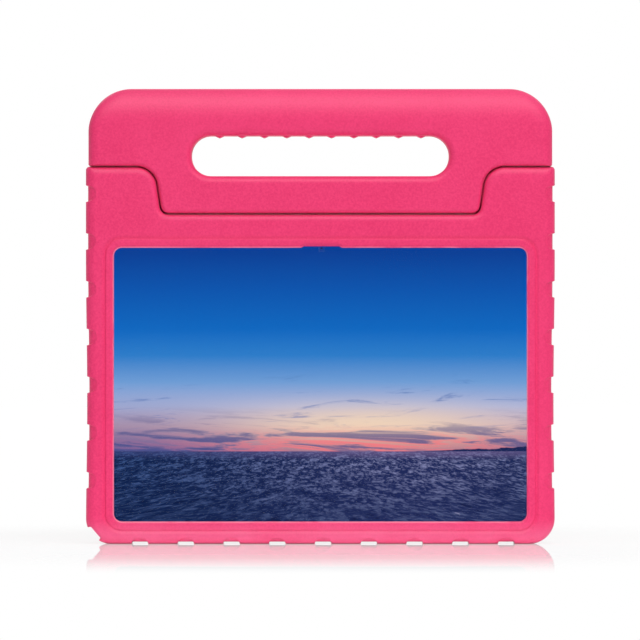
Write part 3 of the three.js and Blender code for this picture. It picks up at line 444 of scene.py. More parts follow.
def case_shell():
    """The foam shell as one closed surface of rings, from the pocket to the recess in its back."""
    place = shell_places()
    rim = edge_depths(1.2, 9)[::-1]
    # the groove round the window: 0.8 mm deep, steep on its inner side
    across = np.concatenate([[2.3, 4.1], np.linspace(4.4, 5.15, 6), [5.4], np.linspace(5.6, 7.35, 8)])
    groove = 0.8 * np.minimum(eased((across - 4.4) / 0.9), eased((7.3 - across) / 1.9))
    pocket_y = [POCKET_FLOOR, POCKET_FLOOR, POCKET_FLOOR - 0.8, LIP_BACK]
    window_y = [LIP_BACK, -11.75, FRONT + 1.4]
    inside = [
        rings(rounded_box(place, POCKET, [-40, -1.0, 0, 0]), pocket_y),
        window_rings(place, [0, 0, 0], window_y),
        window_rings(place, edge_inset(1.9, 1.2, rim), FRONT + rim),
        window_rings(place, across, FRONT + groove),
    ]

    def edge(y):
        """Rings of the outer surface at the depths y."""
        back = y > 0
        depth = np.where(back, BACK - y, y - FRONT)
        notch = np.where(back, edge_inset(*NOTCH_EDGE_BACK, depth), edge_inset(*NOTCH_EDGE_FRONT, depth))
        ear = np.where(back, edge_inset(*EAR_EDGE_BACK, depth), edge_inset(*EAR_EDGE_FRONT, depth))
        return rings(shell_outline([
            edge_inset(BASE_EDGE, BASE_EDGE, depth), edge_inset(SIDE_EDGE, SIDE_EDGE, depth),
            ear - ear_rib(y), notch, notch - cradle(y)]), y)

    def face(y, ear, notch):
        """The ring on a flat face, just inside its rounded edge."""
        insets = [v + FACE_INSET for v in (BASE_EDGE, SIDE_EDGE, ear, notch, notch - cradle(y))]
        return rings(shell_outline([np.array([v]) for v in insets]), [y])

    upright_y = [-5.0, -1.0, 2.0, 3.0, 4.0]
    outside = np.concatenate([
        face(FRONT, EAR_EDGE_FRONT[0], NOTCH_EDGE_FRONT[0]),
        edge(np.concatenate([FRONT + edge_depths(6.0, 30), upright_y, BACK - edge_depths(8.0, 28)[::-1]])),
        face(BACK, EAR_EDGE_BACK[0], NOTCH_EDGE_BACK[0]),
    ])
    slope = np.linspace(0, 1, 13)
    floor = BACK - RECESS_DEPTH
    recess = [
        rings(rounded_box(place, BACK_FACE, [0]), [BACK]),
        rings(rounded_box(place, RECESS, 1.2 - RECESS_SLOPE * slope), BACK - RECESS_DEPTH * eased(slope)),
        rings(rounded_box(place, RECESS, [-40]), [floor]),
    ]
    return outward(ring_solid("foam_shell", np.concatenate([*inside, waist(dent(outside)), *recess])))


def ear_tools():
    """Cutters for the hinge: a round-bottomed space in each ear, open above and behind, and a bush's bore."""
    axis = (AXIS_Y, AXIS_Z)
    inner = 86.5
    low = arc(axis, CRADLE_RADIUS, 272, 291, 8)
    past, above = BACK + 2, SEAM_TOP + 2
    fall = (past - low[-1][0]) * math.tan(math.radians(30))
    section = np.concatenate([[[past, above], [AXIS_Y - RELIEF_RADIUS, above]],
                              arc(axis, RELIEF_RADIUS, 180, 262, 26), low, [[past, low[-1][1] - fall]]])
    radius, length = BUSH_BORE
    tools = []
    for side in (1, -1):
        x0, x1 = sorted((side * inner, side * RELIEF_HALF))
        tools.append(bar(f"ear_space_{side}", section, x0, x1))
        x0, x1 = sorted((side * (RELIEF_HALF - 1), side * (RELIEF_HALF + length)))
        tools.append(bar(f"bush_bore_{side}", arc(axis, radius, 0, 350, 35), x0, x1))
    return tools


def round_mouth(name, x0, x1, half_long, radius, centre, flare):
    """Cutter along X through the side wall, from x0 to its mouth at x1.

    Its section is a stadium of the radius, and it widens by a quarter circle of the flare towards the mouth.
    """
    depth = edge_depths(flare, 7)
    x = np.concatenate([[x0], (x1 - depth)[::-1], [x1 + 1.5]])
    swell = np.concatenate([[0.0], edge_inset(flare, flare, depth)[::-1], [flare]])
    t = np.radians(np.linspace(0, 360, 49)[:-1])
    y = centre[0] + (radius + swell[:, None]) * np.cos(t)
    z = centre[1] + (radius + swell[:, None]) * np.sin(t) + half_long * np.where(np.sin(t) >= 0, 1, -1)
    return ring_solid(name, rings_along_x(np.stack([y, z], 2), x))


def wall_tools():
    """Cutters for the three openings in the right wall and the rear camera's hole."""
    radius = 3.5
    tools = [round_mouth(name, 122.8, HALF, length / 2 - radius, radius, (KEY_Y, z), 1.5)
             for name, z, length in [("power_way", 162.0, 14.0), ("volume_way", 134.3, 18.2),
                                     ("port_way", 106.5, 16.0)]]
    floor = BACK - RECESS_DEPTH
    depth = edge_depths(1.2, 6)
    flared = 8.4 + edge_inset(1.2, 1.2, depth)
    profile = [(-0.5, 7.0), (0.3, 7.0), *zip(floor - depth[::-1], flared[::-1]), (floor + 1.5, flared[0])]
    return [*tools, turned("camera_way", profile, *REAR_CAMERA)]


# Handle

def slot_stations():
    """Places along the slot's top, close together over each ridge."""
    near = np.concatenate([np.linspace(-3.1, 3.1, 15), [-4.6, 4.6]])
    fine = (RIDGES[:, None] + near[None]).ravel()
    return np.sort(fine[np.abs(fine) < SLOT_STRAIGHT - 0.3])


def handle_outline(insets):
    """The handle's outline for rows of insets (tab, shoulder, side, crown)."""
    tab, shoulder, side, crown = (np.asarray(v, float) for v in insets)
    corners = [
        (-NOTCH_FLOOR_HALF, SEAM_FLOOR, TAB_CORNER, 10), (NOTCH_FLOOR_HALF, SEAM_FLOOR, TAB_CORNER, 10),
        (NOTCH_TOP_HALF, SEAM_TOP, SHOULDER_CORNER, 20), (HANDLE_HALF, SEAM_TOP, 1.0, 8),
        (HANDLE_HALF, HANDLE_TOP, CROWN_CORNER, 30), (-HANDLE_HALF, HANDLE_TOP, CROWN_CORNER, 30),
        (-HANDLE_HALF, SEAM_TOP, 1.0, 8), (-NOTCH_TOP_HALF, SEAM_TOP, SHOULDER_CORNER, 20),
    ]
    shoulder_long, side_long = HANDLE_HALF - NOTCH_TOP_HALF, HANDLE_TOP - SEAM_TOP
    floor_run = np.linspace(7, 2 * NOTCH_FLOOR_HALF - 7, 30)
    wall_run = np.linspace(6.5, NOTCH_WALL - 13, 4)
    shoulder_run = np.linspace(14, shoulder_long - 5, 6)
    upright = np.linspace(4, side_long - 28, 6)
    top_run = HANDLE_HALF - slot_stations()[::-1] * (CROWN_STRAIGHT / SLOT_STRAIGHT)
    stations = [floor_run, wall_run, shoulder_run, upright, top_run, (side_long - upright)[::-1],
                (shoulder_long - shoulder_run)[::-1], (NOTCH_WALL - wall_run)[::-1]]
    tab, shoulder = tab + SEAM_SIDE, shoulder + SEAM_SIDE
    return outline(corners, stations, np.stack([tab, tab, shoulder, side, crown, side, shoulder, tab], 1))


def handle_places():
    """Where each point of the handle's outline belongs round the slot (see rounded_box).

    On the right half that is first an angle, from -90 straight down to 90 straight up, by the height or by
    the distance from the middle. The left half mirrors it.
    """
    plain = handle_outline([np.zeros(1)] * 4)[0]
    out, z = np.abs(plain[:, 0]), plain[:, 1]
    tab_z, bend_z, shoulder_z = SEAM_FLOOR + SEAM_SIDE, 207.6, SEAM_TOP + SEAM_SIDE
    crown_x, crown_z = HANDLE_HALF - CROWN_CORNER, HANDLE_TOP - CROWN_CORNER
    crown = np.degrees(np.arctan2(z - crown_z, np.maximum(out - crown_x, NEAR)))
    angle = np.select(
        [z < tab_z + NEAR, z < bend_z, z < shoulder_z - NEAR, z < shoulder_z + NEAR, z <= crown_z],
        [np.interp(out, [80, 93], [-90, -72]), np.interp(z, [192.4, bend_z], [-72, -50]),
         np.interp(out, [94, 109], [-50, -9]), np.interp(out, [109, 134], [-9, -1]),
         np.interp(z, [219.9, crown_z], [-0.5, 8])],
        8 + crown * 82 / 90)
    place = np.select(
        [z > HANDLE_TOP - NEAR, angle < NEAR - 90, angle < 0],
        [4 + np.clip((1 - out / CROWN_STRAIGHT) / 2, 0, 0.5), np.interp(out, [0, 80], [0.5, 1.0]),
         2 + angle / 90],
        3 + np.clip(angle, 0, 90) / 90)
    mirrored = np.where(place < 1, 1, 9) - place
    return np.where(plain[:, 0] < 0, mirrored, place) % 8


def slot_rings(place, grow, y):
    """Slot outlines, grown, at the depths y, with a row of ridges along the top.

    A ridge hangs by 1.35 (p - 0.12 p^4) mm, where p falls from 1 in its middle to 0 at 2.7 mm to either side.
    It fades out from 7.8 to 8.9 mm before and behind the handle's middle.
    """
    flat = rounded_box(place, SLOT, grow)
    y = np.asarray(y, float)[:, None]
    off = np.min(np.abs(flat[..., 0][..., None] - RIDGES), axis=-1)
    peak = np.clip(1 - off / 2.7, 0, 1)
    hang = 1.35 * (peak - 0.12 * peak ** 4) * eased((8.9 - np.abs(y)) / 1.1)
    flat[..., 1] -= np.where(flat[..., 1] > SLOT[3] - 0.6, hang, 0)
    return rings(flat, y)


def handle_body():
    """The handle as one closed ring of surfaces: slot wall, front face, outer sides and back face."""
    place = handle_places()
    slot_depth, crown_depth = edge_depths(SLOT_EDGE[1], 12), edge_depths(CROWN_EDGE[1], 26)
    slot_grow = edge_inset(*SLOT_EDGE, slot_depth)
    steps = np.array([5, 7.8, 8.2, 8.6, 9.0, 9.15, 9.35])
    wall_y = np.concatenate([steps[::-1], [0.0], -steps])

    def edge(y, depth, tab, shoulder):
        """Rings of the outer surface at the depths y."""
        insets = [edge_inset(*pair, depth) for pair in (tab, shoulder, HANDLE_SIDE_EDGE, CROWN_EDGE)]
        return rings(handle_outline(insets), y)

    def face(y, tab, shoulder):
        """The two rings on a flat face: just inside its rounded outer edge, and round the slot."""
        insets = [np.array([pair[0] + 0.4]) for pair in (tab, shoulder, HANDLE_SIDE_EDGE, CROWN_EDGE)]
        return [rings(handle_outline(insets), [y]), slot_rings(place, [SLOT_EDGE[0] + FACE_INSET], [y])]

    return outward(ring_solid("foam_handle", np.concatenate([
        slot_rings(place, 0 * wall_y, wall_y),
        slot_rings(place, slot_grow[::-1], FRONT + slot_depth[::-1]),
        *face(FRONT, TAB_EDGE_FRONT, TAB_EDGE_FRONT)[::-1],
        edge(FRONT + crown_depth, crown_depth, TAB_EDGE_FRONT, TAB_EDGE_FRONT),
        edge(BACK - crown_depth, crown_depth, TAB_EDGE_BACK, SHOULDER_EDGE_BACK)[::-1],
        *face(BACK, TAB_EDGE_BACK, SHOULDER_EDGE_BACK),
        slot_rings(place, slot_grow, BACK - slot_depth),
    ]), closed_rings=True))


def knuckle_tools():
    """Cutter for the tab's lower back, the knuckle's ends that reach into the ears, cutters for the pins."""
    axis = (AXIS_Y, AXIS_Z)
    reach = RELIEF_RADIUS + 1
    trim = np.concatenate([
        arc(axis, KNUCKLE_RADIUS, 0, -90, 30),
        [[AXIS_Y, AXIS_Z - reach], [AXIS_Y + reach, AXIS_Z - reach], [AXIS_Y + reach, AXIS_Z]]])
    top = SEAM_TOP + SEAM_SIDE + 3
    flat = math.degrees(math.asin((BACK - AXIS_Y) / KNUCKLE_RADIUS))
    knuckle = np.concatenate([[[BACK, top], [AXIS_Y - KNUCKLE_RADIUS, top]],
                              arc(axis, KNUCKLE_RADIUS, 180, 270 + flat, 48)])
    radius, length = PIN_BORE
    ends, bores = [], []
    for side in (1, -1):
        x0, x1 = sorted((side * (KNUCKLE_HALF - 20), side * KNUCKLE_HALF))
        ends.append(bar(f"knuckle_end_{side}", knuckle, x0, x1, edge=0.8))
        x0, x1 = sorted((side * (KNUCKLE_HALF - length), side * (KNUCKLE_HALF + 1)))
        bores.append(bar(f"pin_bore_{side}", arc(axis, radius, 0, 345, 23), x0, x1))
    return bar("tab_trim", trim, -KNUCKLE_HALF - 2, KNUCKLE_HALF + 2), ends, bores


# Keys and lenses

def key_body(name, z, length):
    """A key as rings of rounded oblongs along X: its flange, and a cap whose edge and end are domed.

    The cap stands 2.6 mm out of the flange. Its edge draws in by 0.45 mm along a quarter circle, and its end
    rises by a further 0.12 mm in three even steps to within 0.1 mm of its middle.
    """
    edge = edge_depths(0.45, 6)[::-1]
    x = np.concatenate([[120.6, 120.75, 121.45, 121.6, 121.6, 123.2], 124.08 - edge, [124.12, 124.16, 124.2]])
    drawn = edge_inset(0.45, 0.45, edge)
    grow = np.concatenate([[0.25, 0.4, 0.4, 0.25, 0.0, 0.0], -drawn, [-0.7, -0.95, -1.1]])
    flat = rounded_box(ALL_ROUND, (KEY_Y - 1.2, KEY_Y + 1.2, z - length / 2, z + length / 2, 0.9), grow)
    return outward(ring_solid(name, rings_along_x(flat, x)))


def front_camera_body():
    """The front camera as rings along Y: an oblong that fills its hole in the panel, with a lens in it.

    The lens is round and dished by 0.3 mm, and its glass rises again by 0.18 mm as a dome.
    """
    middle = np.array(FRONT_CAMERA)
    box = (middle[0] - 1.42, middle[0] + 1.42, middle[1] - 1.72, middle[1] + 1.72, 0.3)
    oblong = rounded_box(ALL_ROUND, box, [-1.2, -0.1, 0, 0, -0.04, -0.12, -0.6])
    oblong_y = [-5.95, -5.95, -6.05, -7.8, -7.86, -7.9, -7.9]
    toward = oblong[2] - middle
    toward /= np.linalg.norm(toward, axis=1, keepdims=True)
    turn = np.linspace(0, math.pi / 2, 8)[:-1]
    radius = np.concatenate([[0.52, 0.5, 0.46], 0.42 * np.cos(turn), [0.02]])
    lens_y = np.concatenate([[-7.9, -7.88, -7.6], -7.6 - 0.18 * np.sin(turn), [-7.78]])
    flat = np.concatenate([oblong, middle + radius[:, None, None] * toward])
    return outward(ring_solid("front_camera_lens", rings(flat, np.concatenate([oblong_y, lens_y]))))


def lens_profile(front, back, body, rim, glass):
    """Half section of a lens, (distance, radius): a barrel of radius body, a bevelled rim and a domed glass.

    It looks back along +Y, and the dome rises by 0.3 sqrt(1 - (r / glass)^2) mm from 0.5 mm inside the rim.
    """
    angle = np.linspace(0, math.pi / 2, 10)
    dome = np.stack([front - 0.5 + 0.3 * np.sin(angle), glass * np.cos(angle) + 0.004], 1)
    barrel = [(back, 0.2), (back, body - 0.15), (back + 0.15, body), (front - 0.6, body),
              (front - 0.6, rim), (front - 0.1, rim), (front, rim - 0.1), (front, rim - 0.35),
              (front - 0.4, glass + 0.12), (front - 0.5, glass + 0.06)]
    return np.concatenate([barrel, dome])


# Finishes

WHITE = (1.0, 1.0, 1.0, 1.0)


def linear(*levels):
    """Linear colour from 0-255 screen levels: ((v + 0.055) / 1.055)^2.4, or v / 12.92 below 0.04045."""
    v = np.array(levels, float) / 255
    return tuple(np.where(v <= 0.04045, v / 12.92, ((v + 0.055) / 1.055) ** 2.4).tolist())


def math_node(operation, swapped=False):
    """Operator of a Wire that adds one Math node; swapped puts the other value first."""
    def method(wire, *others):
        values = [*others, wire] if swapped else [wire, *others]
        return wire.nodes.add("ShaderNodeMath", {"operation": operation}, dict(enumerate(values)))
    return method


class Wire:
    """A value on its way through a material: the usual operators add Math nodes."""

    def __init__(self, nodes, socket):
        self.nodes, self.socket = nodes, socket

    __add__, __radd__ = math_node("ADD"), math_node("ADD", swapped=True)
    __sub__, __rsub__ = math_node("SUBTRACT"), math_node("SUBTRACT", swapped=True)
    __mul__, __rmul__ = math_node("MULTIPLY"), math_node("MULTIPLY", swapped=True)
    __truediv__, __rtruediv__ = math_node("DIVIDE"), math_node("DIVIDE", swapped=True)
    __pow__, __rpow__ = math_node("POWER"), math_node("POWER", swapped=True)
    least, most = math_node("MINIMUM"), math_node("MAXIMUM")
    size, exponential = math_node("ABSOLUTE"), math_node("EXPONENT")

    def __neg__(self):
        return self * -1.0


class Nodes:
    """A node tree that is filled one node at a time."""

    def __init__(self, owner):
        owner.use_nodes = True
        self.tree = owner.node_tree
        self.tree.nodes.clear()

    def add(self, kind, settings=None, values=None, output=0):
        """A node of this type: its settings first, then its sockets' values and links."""
        node = self.tree.nodes.new(kind)
        for key, value in (settings or {}).items():
            if key == "stops":
                ramp = node.color_ramp.elements
                while len(ramp) < len(value):
                    ramp.new(0.5)
                for element, (position, color) in zip(ramp, value):
                    element.position, element.color = position, (*linear(*color), 1.0)
            else:
                setattr(node, key, value)
        for key, value in (values or {}).items():
            socket = node.inputs[key]
            if isinstance(value, Wire):
                self.tree.links.new(value.socket, socket)
            else:
                socket.default_value = value
        return Wire(self, node.outputs[output] if len(node.outputs) else None)

    def seen(self, *kinds):
        """1 for rays of these kinds (Camera, Glossy, Transmission) and 0 for others."""
        path = self.add("ShaderNodeLightPath").socket.node
        total = Wire(self, path.outputs[f"Is {kinds[0]} Ray"])
        for kind in kinds[1:]:
            total = total.most(Wire(self, path.outputs[f"Is {kind} Ray"]))
        return total


class Finish(Nodes):
    """One material and its nodes."""

    def __init__(self, name):
        self.material = bpy.data.materials.new(name)
        super().__init__(self.material)

    def spot(self):
        """The point on the piece, in metres."""
        return self.add("ShaderNodeTexCoord", output="Object")

    def split(self, vector):
        first = self.add("ShaderNodeSeparateXYZ", values={0: vector})
        return first, *(Wire(self, first.socket.node.outputs[i]) for i in (1, 2))

    def join(self, x, y, z):
        return self.add("ShaderNodeCombineXYZ", values={0: x, 1: y, 2: z})

    def noise(self, vector, scale, detail=2.0, roughness=0.5, **extra):
        return self.add("ShaderNodeTexNoise", values={
            "Vector": vector, "Scale": scale, "Detail": detail, "Roughness": roughness, **extra})

    def step(self, value, low, high):
        """0 at low and 1 at high and past them, eased between; low may be the greater."""
        return self.add("ShaderNodeMapRange", {"interpolation_type": "SMOOTHSTEP"},
                        {"Value": value, "From Min": low, "From Max": high})

    def blend(self, share, first, second):
        """Mix of two colours, each a Wire or screen levels."""
        node = self.add("ShaderNodeMix", {"data_type": "RGBA"}, {0: share}).socket.node
        for index, color in ((6, first), (7, second)):
            if isinstance(color, Wire):
                self.tree.links.new(color.socket, node.inputs[index])
            else:
                node.inputs[index].default_value = (*linear(*color), 1.0)
        return Wire(self, node.outputs[2])

    def bump(self, height, distance, strength):
        """Normal of a surface that rises by height times the distance, in metres."""
        return self.add("ShaderNodeBump", values={
            "Height": height, "Distance": distance, "Strength": strength})

    def surface(self, **values):
        """A Principled surface; names are the sockets' own, with _ for a space."""
        named = {}
        for key, value in values.items():
            if isinstance(value, tuple) and len(value) == 3:
                value = (*value, 1.0)
            named[key.replace("_", " ")] = value
        return self.add("ShaderNodeBsdfPrincipled", values=named)

    def done(self, shader):
        self.add("ShaderNodeOutputMaterial", values={"Surface": shader})
        return self.material


def foam_finish():
    """Pink closed-cell foam: a fine pebbled skin, faint mottling, a soft sheen, and light painted into its
    colour.

    It has painted floor light, paler where the shell meets the table (the lowest 4 mm, fading out at 16 mm),
    and a painted highlight on the very edge of the window, found by the distance to a rounded rectangle:
    |max(q, 0)| + min(max(qx, qz), 0) - radius.
    """
    f = Finish("pink_foam")
    spot = f.spot()
    x, y, z = f.split(spot)
    pebbles = f.noise(spot, 900.0, 3.0, 0.6)
    cells = f.add("ShaderNodeTexVoronoi", {"feature": "F1"}, {"Vector": spot, "Scale": 620.0})
    waves = f.noise(spot, 45.0, 3.0, 0.6)
    broad = f.noise(spot, 9.0, 2.0, 0.5)
    mottle = (pebbles - 0.5) * 0.55 + (waves - 0.5) * 0.16 + (broad - 0.5) * 0.2
    color = f.blend(f.step(mottle, -0.22, 0.22), (223, 38, 98), (240, 60, 118))
    # painted highlight: a pale, patchy line on the very edge of the window, masked by the distance to its
    # rounded rectangle
    left, right, bottom, top, radius = (v * MM for v in WINDOW)
    qx = (x - (left + right) / 2).size() - ((right - left) / 2 - radius)
    qz = (z - (bottom + top) / 2).size() - ((top - bottom) / 2 - radius)
    across, up = qx.most(0.0), qz.most(0.0)
    away = (across * across + up * up) ** 0.5 + qx.most(qz).least(0.0) - radius
    front = 1 - f.step(y, -0.0128, -0.0112)
    # mask of the painted highlight, at half strength
    painted_edge_highlight = front * (1 - f.step(away.size(), 0.0002, 0.0009)) * f.step(waves, 0.3, 0.55) * 0.5
    # painted floor light: the lowest 4 mm are paler, patchily, fading out at 16 mm
    base = (1 - f.step(z, 0.004, 0.016)) * (0.5 + (waves - 0.5) * 0.6)
    color = f.blend(base, color, (236, 108, 150))
    color = f.blend(painted_edge_highlight, color, (255, 168, 188))
    relief = pebbles * 0.6 + (1 - cells) * 0.25 + waves * 0.5
    rough = 0.52 + (pebbles - 0.5) * 0.25 + (broad - 0.5) * 0.15
    return f.done(f.surface(
        Base_Color=color, Roughness=rough, Normal=f.bump(relief, 0.00022, 0.6),
        Specular_IOR_Level=0.32, Sheen_Weight=0.1, Sheen_Roughness=0.4, Sheen_Tint=(1.0, 0.75, 0.85)))


def plastic_finish(name, low, high, roughness):
    """Moulded plastic: two near tones, a fine spark-eroded grain and slightly uneven gloss."""
    f = Finish(name)
    spot = f.spot()
    fine = f.noise(spot, 2500.0, 2.0)
    broad = f.noise(spot, 60.0, 3.0)
    color = f.blend(f.step(broad, 0.35, 0.65), low, high)
    rough = roughness + (fine - 0.5) * 0.12 + (broad - 0.5) * 0.08
    return f.done(f.surface(Base_Color=color, Roughness=rough, Normal=f.bump(fine, 0.00004, 0.5)))


def metal_finish(name, low, high, roughness, stretch):
    """Brushed metal: streaks along X that vary tone, gloss and height."""
    f = Finish(name)
    x, y, z = f.split(f.spot())
    streaks = f.noise(f.join(x * stretch, y * 900.0, z * 900.0), 1.0, 3.0)
    blotch = f.noise(f.spot(), 70.0, 3.0)
    color = f.blend(f.step(streaks * 0.6 + blotch * 0.4, 0.35, 0.65), low, high)
    return f.done(f.surface(Base_Color=color, Metallic=1.0, Roughness=roughness + (streaks - 0.5) * 0.2,
                            Normal=f.bump(streaks, 0.00003, 0.4)))


def board_finish():
    """Circuit board: green solder mask over bent copper lines, with square dark parts scattered over it."""
    f = Finish("solder_mask")
    spot = f.spot()
    x, y, z = f.split(spot)
    bend = f.noise(spot, 120.0, 1.0)
    lines = f.add("ShaderNodeTexWave", {"wave_type": "BANDS", "bands_direction": "Z"},
                  {"Vector": f.join(x, y, z + bend * 0.004), "Scale": 260.0, "Distortion": 0.0})
    tracks = f.step(lines, 0.72, 0.8) * f.step(f.noise(spot, 60.0, 0.0), 0.48, 0.52)
    parts = f.add("ShaderNodeTexVoronoi", {"feature": "F1", "distance": "CHEBYCHEV"},
                  {"Vector": spot, "Scale": 190.0, "Randomness": 0.8})
    dark = 1 - f.step(parts, 0.2, 0.23)
    green = f.blend(tracks, (22, 84, 46), (58, 128, 70))
    color = f.blend(dark, green, (24, 25, 28))
    return f.done(f.surface(Base_Color=color, Roughness=0.35 + dark * 0.25,
                            Normal=f.bump(tracks * 0.3 + dark, 0.0002, 0.6)))


def wrap_finish():
    """Battery wrap: dull dark foil with faint wrinkles."""
    f = Finish("cell_wrap")
    spot = f.spot()
    wrinkle = f.noise(spot, 55.0, 4.0, 0.6, Distortion=0.8)
    color = f.blend(f.step(wrinkle, 0.3, 0.7), (52, 54, 58), (66, 68, 73))
    return f.done(f.surface(Base_Color=color, Metallic=0.3, Roughness=0.5 + (wrinkle - 0.5) * 0.3,
                            Normal=f.bump(wrinkle, 0.0004, 0.5)))


def front_camera_finish():
    """The front camera's mask, tinted like the screen round it and given a painted blue glow, with a near
    black lens.
    """
    f = Finish("front_camera_mask")
    x, _, z = f.split(f.spot())
    across, up = x - FRONT_CAMERA[0] * MM, z - FRONT_CAMERA[1] * MM
    mask = f.step((across * across + up * up) ** 0.5, 0.00044, 0.0005)
    color = f.blend(mask, (6, 7, 12), (6, 22, 60))
    # painted glow: the mask gives off the screen's blue as light of its own, outside the lens
    glow = f.blend(mask, (0, 0, 0), (0, 58, 146))
    grain = f.noise(f.spot(), 800.0, 1.0)
    return f.done(f.surface(Base_Color=color, Roughness=0.14 + grain * 0.08, Specular_IOR_Level=0.2,
                            Emission_Color=glow, Emission_Strength=0.9))


def lens_finish(name):
    """Coated glass of a camera: near black, with a faint violet bloom and uneven gloss."""
    f = Finish(name)
    bloom = f.noise(f.spot(), 400.0, 1.0)
    color = f.blend(f.step(bloom, 0.4, 0.6), (6, 7, 12), (15, 13, 28))
    return f.done(f.surface(Base_Color=color, Roughness=0.12 + bloom * 0.08, Specular_IOR_Level=0.25))


def glass_finish():
    """Cover glass: clear, with a low-reflection coating and a few faint smears in its gloss."""
    f = Finish("cover_glass")
    smear = f.noise(f.spot(), 22.0, 4.0, 0.6, Distortion=1.2)
    clear = f.add("ShaderNodeBsdfTransparent", values={"Color": (0.97, 0.98, 1.0, 1.0)})
    gloss = f.add("ShaderNodeBsdfGlossy", values={
        "Color": WHITE, "Roughness": 0.03 + f.step(smear, 0.45, 0.75) * 0.08})
    facing = f.add("ShaderNodeLayerWeight", values={"Blend": 0.5}, output=1)
    share = 0.001 + facing ** 5 * 0.5
    return f.done(f.add("ShaderNodeMixShader", values={0: share, 1: clear, 2: gloss}))


def screen_finish():
    """The lit panel: an evening sky over open water, worked out from the place on the panel.

    u runs from 0 at the window's left edge to 1 at its right edge, v from 0 at the bottom to 1 at the top.
    The sky is a ramp up from the horizon and the clouds are noise stretched along u. The water's ripples are
    noise whose cells shrink from 5 mm by 1.8 mm at the bottom edge to 1.6 mm by 0.7 mm at the horizon.
    """
    f = Finish("lit_screen")
    x, y, z = f.split(f.spot())
    left, right, bottom, top, _ = (v * MM for v in WINDOW)
    u = (x - left) / (right - left)
    v = (z - bottom) / (top - bottom)
    horizon = 0.256
    up = (v - horizon) / (1 - horizon)

    def hump(value, middle, spread):
        """Bell curve: exp(-((value - middle) / spread)^2)."""
        off = (value - middle) / spread
        return (-(off * off)).exponential()

    sky = f.add("ShaderNodeValToRGB", {"stops": [
        (0.0, (120, 92, 140)), (0.05, (168, 124, 152)), (0.12, (206, 168, 178)),
        (0.22, (172, 180, 216)), (0.34, (112, 158, 212)), (0.47, (44, 126, 200)),
        (0.60, (4, 104, 192)), (0.80, (0, 84, 174)), (1.0, (0, 60, 148))]}, {0: up})
    # warm light low over the water, right of the middle, and cool dusk on the left
    sky = f.blend(hump(u, 0.62, 0.34) * hump(up, 0.13, 0.10) * 0.85, sky, (250, 220, 186))
    sky = f.blend(hump(u, 0.66, 0.3) * hump(up, 0.035, 0.05) * 0.55, sky, (240, 140, 128))
    sky = f.blend(f.step(u, 0.5, 0.0) * f.step(up, 0.34, 0.04) * 0.5, sky, (74, 88, 152))
    # a bank of clouds low down, fringed with red light, and wisps above it
    streak = f.noise(f.join(u * 3.4, up * 20.0 + u * 1.5, 3.7), 1.0, 6.0, 0.62, Distortion=0.6)
    low_bank = f.step(up, 0.24, 0.04) * f.step(streak, 0.49, 0.60)
    sky = f.blend(low_bank * 0.8, sky, (66, 78, 136))
    fringe = f.step(up, 0.14, 0.03) * f.step(streak, 0.43, 0.47) * f.step(streak, 0.54, 0.5)
    sky = f.blend(fringe * hump(u, 0.6, 0.35) * 0.8, sky, (250, 120, 128))
    wisp = f.noise(f.join(u * 4.2, up * 22.0 - u * 3.0, 9.2), 1.0, 6.0, 0.66, Distortion=1.0)
    high = f.step(up, 0.08, 0.16) * f.step(up, 0.50, 0.26) * f.step(wisp, 0.56, 0.70)
    sky = f.blend(high * 0.62, sky, (62, 104, 172))
    # low hills on the right
    ridge = f.noise(f.join(u * 7.0, 1.3, 5.0), 1.0, 5.0, 0.6)
    crest = (ridge - 0.3) * 0.085 * f.step(u, 0.70, 0.98)
    hills = f.step(crest - up, -0.002, 0.002) * f.step(u, 0.70, 0.72)
    sky = f.blend(hills, sky, (24, 36, 84))
    # water
    d = (horizon - v).most(0.0)
    spread = (u - 0.5) * (150 - 390 * d)
    depth = d * (235 - 290 * d)
    ripple = f.noise(f.join(spread, depth, 0.4), 1.0, 3.0, 0.6, Distortion=0.4)
    swell = f.noise(f.join(spread * 0.22, depth * 0.3, 7.1), 1.0, 2.0, 0.5)
    chop = (ripple - 0.5) * 1.4 + (swell - 0.5) * 0.8 + 0.5
    near = f.step(d, 0.0, horizon)
    glow = hump(u, 0.74, 0.42)
    deep = f.blend(glow, (8, 30, 72), (30, 40, 88))
    lit = f.blend(glow, (52, 84, 138), (136, 138, 180))
    lit = f.blend(near * 0.8, lit, (46, 64, 106))
    water = f.blend(f.step(chop, 0.38, 0.86), deep, lit)
    water = f.blend(f.step(chop, 0.34, 0.16) * near * 0.7, water, (8, 14, 44))
    water = f.blend(f.step(chop, 0.80, 1.0) * near * glow * 0.7, water, (190, 182, 208))
    far = f.blend(glow, (52, 66, 122), (118, 100, 146))
    water = f.blend((1 - f.step(d, 0.0, 0.035)) * 0.6, water, far)
    picture = f.blend(f.step(v, horizon - 0.0015, horizon + 0.0015), water, sky)
    fine = f.noise(f.spot(), 3000.0, 0.0)
    return f.done(f.surface(Base_Color=(0.001, 0.0012, 0.0015), Roughness=0.22 + fine * 0.06,
                            Specular_IOR_Level=0.03, Emission_Color=picture, Emission_Strength=1.0))


# Pieces

def dress(obj, material):
    """Gives the object this one material."""
    obj.data.materials.clear()
    obj.data.materials.append(material)
    return obj


foam = foam_finish()
dark_plastic = plastic_finish("dark_housing", (38, 39, 43), (46, 47, 51), 0.38)
bush_plastic = plastic_finish("bush_plastic", (40, 41, 44), (50, 51, 54), 0.5)
pin_plastic = plastic_finish("pin_plastic", (208, 208, 203), (222, 222, 218), 0.4)
speaker_plastic = plastic_finish("speaker_plastic", (34, 35, 38), (42, 43, 46), 0.6)
steel = metal_finish("screw_steel", (168, 169, 172), (196, 197, 200), 0.3, 120.0)
plate = metal_finish("plate_metal", (150, 152, 156), (172, 174, 178), 0.36, 12.0)

shell = cut(case_shell(), ear_tools() + wall_tools())
dress(shade(shell), foam)
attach(shell, "case")
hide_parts("case_body")

